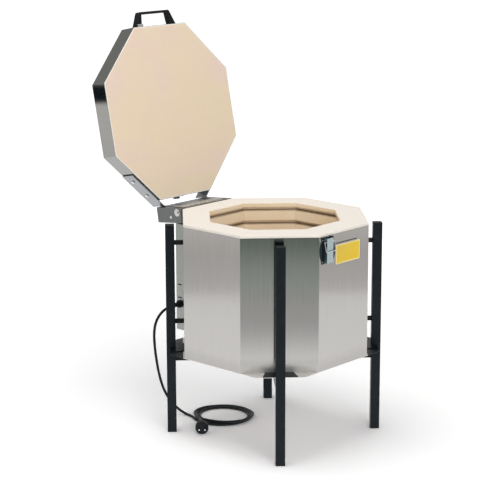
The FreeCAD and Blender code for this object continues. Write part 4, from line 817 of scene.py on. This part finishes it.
@dataclass
class PowerCord:
    """Mains cord: the free stretch, its loose turns on the floor, and the plug."""

    radius: float = 4.5 * MM
    length: float = 2.39
    turns: int = 3
    points_a_turn: int = 14
    centre: tuple[float, float] = (-0.022, 0.210)
    start_angle: float = math.radians(159)
    outer: float = 0.1015
    shrink: float = 0.0095
    fan: float = 0.027
    fan_turn: float = 0.35
    settle: float = 0.0085
    cross_turn: float = 0.5
    under_from: float = 0.72
    under_turn: float = 0.22
    lift_share: float = 2.1
    wobble: float = 1.8 * MM
    wobble_rate: float = 2.3
    wobble_phase: float = 0.7
    drop: tuple[tuple[float, float, float], ...] = (
        (-0.150, 0.31325, 0.400), (-0.176, 0.31325, 0.400), (-0.202, 0.320, 0.386),
        (-0.218, 0.331, 0.356), (-0.217, 0.342, 0.314), (-0.205, 0.351, 0.255),
        (-0.188, 0.358, 0.190), (-0.168, 0.363, 0.130), (-0.147, 0.364, 0.084),
        (-0.125, 0.358, 0.046), (-0.107, 0.343, 0.020), (-0.098, 0.320, 0.0065),
        (-0.098, 0.293, 0.0045), (-0.106, 0.268, 0.0045), (-0.118, 0.247, 0.0045))
    tail: tuple[tuple[float, float, float], ...] = (
        (-0.129, 0.217, 0.0170), (-0.139, 0.203, 0.0205), (-0.151, 0.188, 0.022),
        (-0.1646, 0.1744, 0.022))
    plug_place: tuple[float, float, float] = (-0.187, 0.152, 0.022)
    plug_turn: float = math.radians(-135)
    plug_radius: float = 22 * MM
    plug_face: float = 20 * MM
    plug_rear: float = -32 * MM
    # Length in mm and scale of each step of the plug's back, from the face's ring to the sleeve
    plug_steps: tuple[tuple[float, float], ...] = (
        (1.2, 0.93), (2.4, 1.0), (1.2, 1.07), (2.4, 1.0), (1.2, 0.93), (2.4, 1.0), (3.0, 0.86),
        (6.0, 0.62), (4.0, 0.80))
    bezel: float = 2 * MM
    sleeve_ring: float = 1.2 * MM

    def coil_points(self) -> list[tuple[float, float, float]]:
        """The loose turns: two that shrink, and a last one that fans out over them."""
        places = []
        count = self.turns * self.points_a_turn
        for step in range(1, count):
            turn = step / self.points_a_turn
            angle = self.start_angle + turn * math.tau
            reach = self.outer - self.shrink * min(turn, self.turns - 1)
            lift = 0.0
            last = turn - (self.turns - 1)
            if last > 0:
                rise = min(last / self.fan_turn, 1.0)
                reach += self.fan * rise * rise * (3 - 2 * rise) - self.settle * last
                crossing = last < self.cross_turn
                over = math.sin(math.pi * last / self.cross_turn) ** 0.5 if crossing else 0.0
                back = max(0.0, (last - self.under_from) / self.under_turn)
                lift = self.lift_share * self.radius * max(over, min(back, 1.0))
            reach += self.wobble * math.sin(self.wobble_rate * angle + self.wobble_phase)
            places.append((self.centre[0] + reach * math.cos(angle),
                           self.centre[1] + reach * math.sin(angle), self.radius + lift))
        return places

    def cord(self, plug: bpy.types.Object) -> None:
        """One smooth spline from the gland to the plug."""
        route = [*self.drop, *self.coil_points(), *self.tail]
        data = bpy.data.curves.new("power_lead", "CURVE")
        data.dimensions = "3D"
        data.resolution_u = 6
        data.bevel_depth = self.radius
        data.bevel_resolution = 4
        data.use_fill_caps = True
        spline = data.splines.new("NURBS")
        spline.points.add(len(route) - 1)
        for point, place in zip(spline.points, route):
            point.co = (*place, 1.0)
        spline.order_u = 3
        spline.use_endpoint_u = True
        piece = bpy.data.objects.new("power_lead", data)
        bpy.context.scene.collection.objects.link(piece)
        data.materials.append(CORD_RUBBER.material())
        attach(piece, Body.KILN.value)
        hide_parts("power_cord", "cord_coil")
        LOG.info("cord laid with %d points", len(route))

    def plug(self) -> bpy.types.Object:
        """Round moulded plug with a recessed face, grip ribs and a ringed sleeve."""
        half = (self.plug_face - self.bezel) / 2
        work = Modeller("plug_shell", bpy.ops.mesh.primitive_cylinder_add, vertices=48,
                        radius=self.plug_radius, depth=half,
                        location=(self.plug_face - self.bezel - half / 2, 0.0, 0.0),
                        rotation=(0.0, math.pi / 2, 0.0))
        work.pick(lambda face: face.normal.x > 0.9)
        work.extrude((self.bezel, 0.0, 0.0), (1.0, 0.91, 0.91))
        work.inset(2.6 * MM)
        work.extrude((-2.2 * MM, 0.0, 0.0))
        work.pick(lambda face: face.normal.x < -0.9)
        rear = self.plug_face - self.bezel - half
        for move, share in self.plug_steps:
            work.extrude((-move * MM, 0.0, 0.0), (1.0, share, share))
            rear -= move * MM
        while rear > self.plug_rear + 2 * self.sleeve_ring:
            for share in (0.84, 1.13):
                work.extrude((-self.sleeve_ring, 0.0, 0.0), (1.0, share, share))
            rear -= 2 * self.sleeve_ring
        work.bevel(0.35 * MM)
        matrix = Matrix.Translation(self.plug_place) @ Matrix.Rotation(self.plug_turn, 4, "Z")
        piece = work.done(CORD_RUBBER, matrix)
        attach(piece, Body.KILN.value)
        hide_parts("plug_body")
        return piece

    def build(self) -> None:
        """Plug first, then the cord."""
        dress(ZINC, "plug_pins")
        self.cord(self.plug())


@dataclass
class Chamber:
    """Grooved brick walls, floor and the coiled heating wire."""

    ring_inradius: float = 0.2167
    coil_radius: float = 2.4 * MM
    wire_radius: float = 0.6 * MM
    coil_pitch: float = 3.2 * MM
    sag: float = 1.8 * MM
    points_a_turn: int = 8
    first_below_rim: float = 0.0225
    groove_pitch: float = 0.046
    grooves: int = 7

    def ring_points(self) -> list[Vector]:
        """The wire's helix along the eight sides of one ring, at height 0."""
        side = 2 * self.ring_inradius * math.tan(math.pi / FACETS)
        count = round(side / self.coil_pitch) * self.points_a_turn
        places = []
        for facet in range(FACETS):
            turn = Matrix.Rotation(facet * math.tau / FACETS, 3, "Z")
            for step in range(count):
                along = (step / count - 0.5) * side
                phase = step * math.tau / self.points_a_turn
                out = self.ring_inradius + self.coil_radius * math.cos(phase)
                places.append(turn @ Vector((along, -out, self.coil_radius * math.sin(phase))))
        return places

    def elements(self) -> None:
        """One wire ring a groove."""
        places = self.ring_points()
        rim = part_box("wall_brick_1")[1].z
        data = bpy.data.curves.new("element_coil", "CURVE")
        data.dimensions = "3D"
        data.bevel_depth = self.wire_radius
        data.bevel_resolution = 0
        spline = data.splines.new("POLY")
        spline.points.add(len(places) - 1)
        for point, place in zip(spline.points, places):
            point.co = (*place, 1.0)
        spline.use_cyclic_u = True
        source = bpy.data.objects.new("element_coil", data)
        bpy.context.scene.collection.objects.link(source)
        select_only(source)
        bpy.ops.object.convert(target="MESH")
        source = bpy.context.active_object
        source.data.materials.append(WIRE.material())
        source.data.shade_smooth()
        for index in range(self.grooves):
            level = rim - self.first_below_rim - self.sag - index * self.groove_pitch
            mesh = source.data.copy()
            mesh.transform(Matrix.Translation((0.0, 0.0, level)))
            piece = bpy.data.objects.new(f"element_coil_{index + 1}", mesh)
            bpy.context.scene.collection.objects.link(piece)
            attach(piece, Body.KILN.value)
            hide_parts("heating_elements")
        bpy.data.objects.remove(source)
        LOG.info("wound %d rings", self.grooves)

    def build(self) -> None:
        """Dress the bricks and wind the wire."""
        dress(WALL_BRICK, *(f"wall_brick_{index + 1}" for index in range(FACETS)))
        dress(FLOOR_BRICK, "floor_brick")
        dress(FIBRE, "insulation_boards", "floor_board")
        dress(CERAMIC, "element_bushings", "thermocouple")
        self.elements()


@dataclass
class Casing:
    """Jacket, legs, base, the plain plate and a thin dark strip just above it."""

    plate: tuple[float, float, float, float] = (-0.042, 0.076, 0.620, 0.682)
    # A thin dark strip just above the plate
    dark_strip: tuple[float, float, float, float] = (-0.053, 0.060, 0.6865, 0.6890)
    plate_thick: float = 0.8 * MM
    dark_strip_thick: float = 0.7 * MM

    def strip(self, name: str, spans: tuple[float, float, float, float], thick: float,
              finish: Finish) -> None:
        """A thin rounded strip on the facet with the latch, with a raised rim.

        Args:
            name: The piece's name.
            spans: Its left, right, bottom and top.
            thick: Its thickness.
            finish: Its finish.
        """
        left, right, bottom, top = spans
        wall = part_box("casing_jacket")[0].y
        work = Modeller(name, bpy.ops.mesh.primitive_cube_add, size=1.0,
                        location=((left + right) / 2, wall - thick / 2, (bottom + top) / 2),
                        scale=(right - left, thick, top - bottom))
        work.pick(lambda face: face.normal.y < -0.9)
        work.inset(min(0.8 * MM, (top - bottom) / 4))
        work.extrude((0.0, thick / 3, 0.0))
        work.bevel(thick / 4)
        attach(work.done(finish), Body.KILN.value)

    def build(self) -> None:
        """Dress the jacket, the legs and the base, and fix the plate."""
        dress(CASING_STEEL, "casing_jacket")
        dress(PAN_STEEL, "base_pan")
        dress(BLACK_PAINT, *(f"leg_{side}" for side in ("front", "right", "back", "left")),
              "gusset_plates", "base_tube_long", "base_tube_left", "base_tube_right",
              "hinge_bracket")
        dress(BLACK_PLASTIC, "leg_feet", "leg_caps", "leg_spacers")
        dress(ZINC, "leg_bolts", "leg_nuts")
        self.strip("plain_plate", self.plate, self.plate_thick, YELLOW_PLATE)
        self.strip("dark_strip_above_plate", self.dark_strip, self.dark_strip_thick, BLACK_PLASTIC)


@dataclass
class Rear:
    """Terminal box, console with its louvre hoods, rod and gland."""

    louvres: int = 9
    pitch: float = 22.0 * MM
    hood_wide: float = 9.0 * MM
    hood_long: float = 80.0 * MM
    hood_high: float = 2.0 * MM
    sheet: float = 0.6 * MM
    middle_y: float = 0.354
    front: tuple[float, float] = (0.300, 0.728)
    back: tuple[float, float] = (0.417, 0.717)

    def hoods(self) -> None:
        """Pressed hoods over the console's slots, open towards +X."""
        work = Modeller("louvre_hoods", bpy.ops.mesh.primitive_cube_add, size=1.0,
                        location=(0.0, 0.0, self.hood_high / 2),
                        scale=(self.hood_wide, self.hood_long, self.hood_high))
        work.pick(lambda face: face.normal.x < -0.9)
        bpy.ops.transform.resize(value=(1.0, 0.9, 0.25),
                                 center_override=(-self.hood_wide / 2, 0.0, 0.0))
        work.bevel(0.5 * MM)
        work.pick(lambda face: face.normal.x > 0.9 or face.normal.z < -0.9)
        bpy.ops.mesh.delete(type="FACE")
        bpy.ops.object.mode_set(mode="OBJECT")
        select_only(work.piece)
        work.apply("sheet", "SOLIDIFY", thickness=self.sheet)
        work.apply("row", "ARRAY", count=self.louvres, use_relative_offset=False,
                   use_constant_offset=True, constant_offset_displace=(self.pitch, 0.0, 0.0))
        slope = math.atan2(self.back[1] - self.front[1], self.back[0] - self.front[0])
        height = self.front[1] + math.tan(slope) * (self.middle_y - self.front[0])
        first = -self.pitch * (self.louvres - 1) / 2
        piece = work.done(LOUVRE_STEEL, Matrix.Translation((first, self.middle_y, height))
                          @ Matrix.Rotation(slope, 4, "X"))
        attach(piece, Body.KILN.value)

    def build(self) -> None:
        """Dress the rear and press the hoods."""
        self.hoods()
        dress(BOX_STEEL, "terminal_box_back", "terminal_box_lower_cover",
              "terminal_box_upper_cover")
        dress(FOLDED_STEEL, "hinge_console")
        dress(CERAMIC, "terminal_block")
        dress(ZINC, "cover_screws", "hinge_rod", "hinge_sleeves", "console_bolts")
        dress(BLACK_PLASTIC, "cord_gland")


@dataclass
class Lid:
    """Brick slab in its band, arms, handle, keeper and clamp."""

    def build(self) -> None:
        """Dress the lid."""
        dress(LID_BRICK, "lid_brick")
        dress(FIBRE, "lid_fibre_wrap")
        dress(BAND_STEEL, "lid_band", "lid_cover")
        dress(ARM_STEEL, "lid_arm_left", "lid_arm_right")
        dress(BLACK_PLASTIC, "lid_handle")
        dress(ZINC, "arm_bolts", "handle_screws", "latch_keeper")
        dress(FOLDED_STEEL, "band_clamp")


@dataclass
class Latch:
    """Cheeks, lever, pin and bail."""

    def build(self) -> None:
        """Dress the latch."""
        dress(CHEEK_STEEL, "latch_base")
        dress(LEVER_STEEL, "latch_lever")
        dress(ZINC, "latch_screws", "lever_pin", "latch_bail")


def main() -> None:
    """Build the studio and every sub-assembly."""
    logging.basicConfig(level=logging.INFO, format="%(name)s: %(message)s")
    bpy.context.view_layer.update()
    for part in (Studio(), PowerCord(), Chamber(), Casing(), Rear(), Lid(), Latch()):
        part.build()
        LOG.info("%s built", type(part).__name__)


if __name__ == "__main__":
    main()
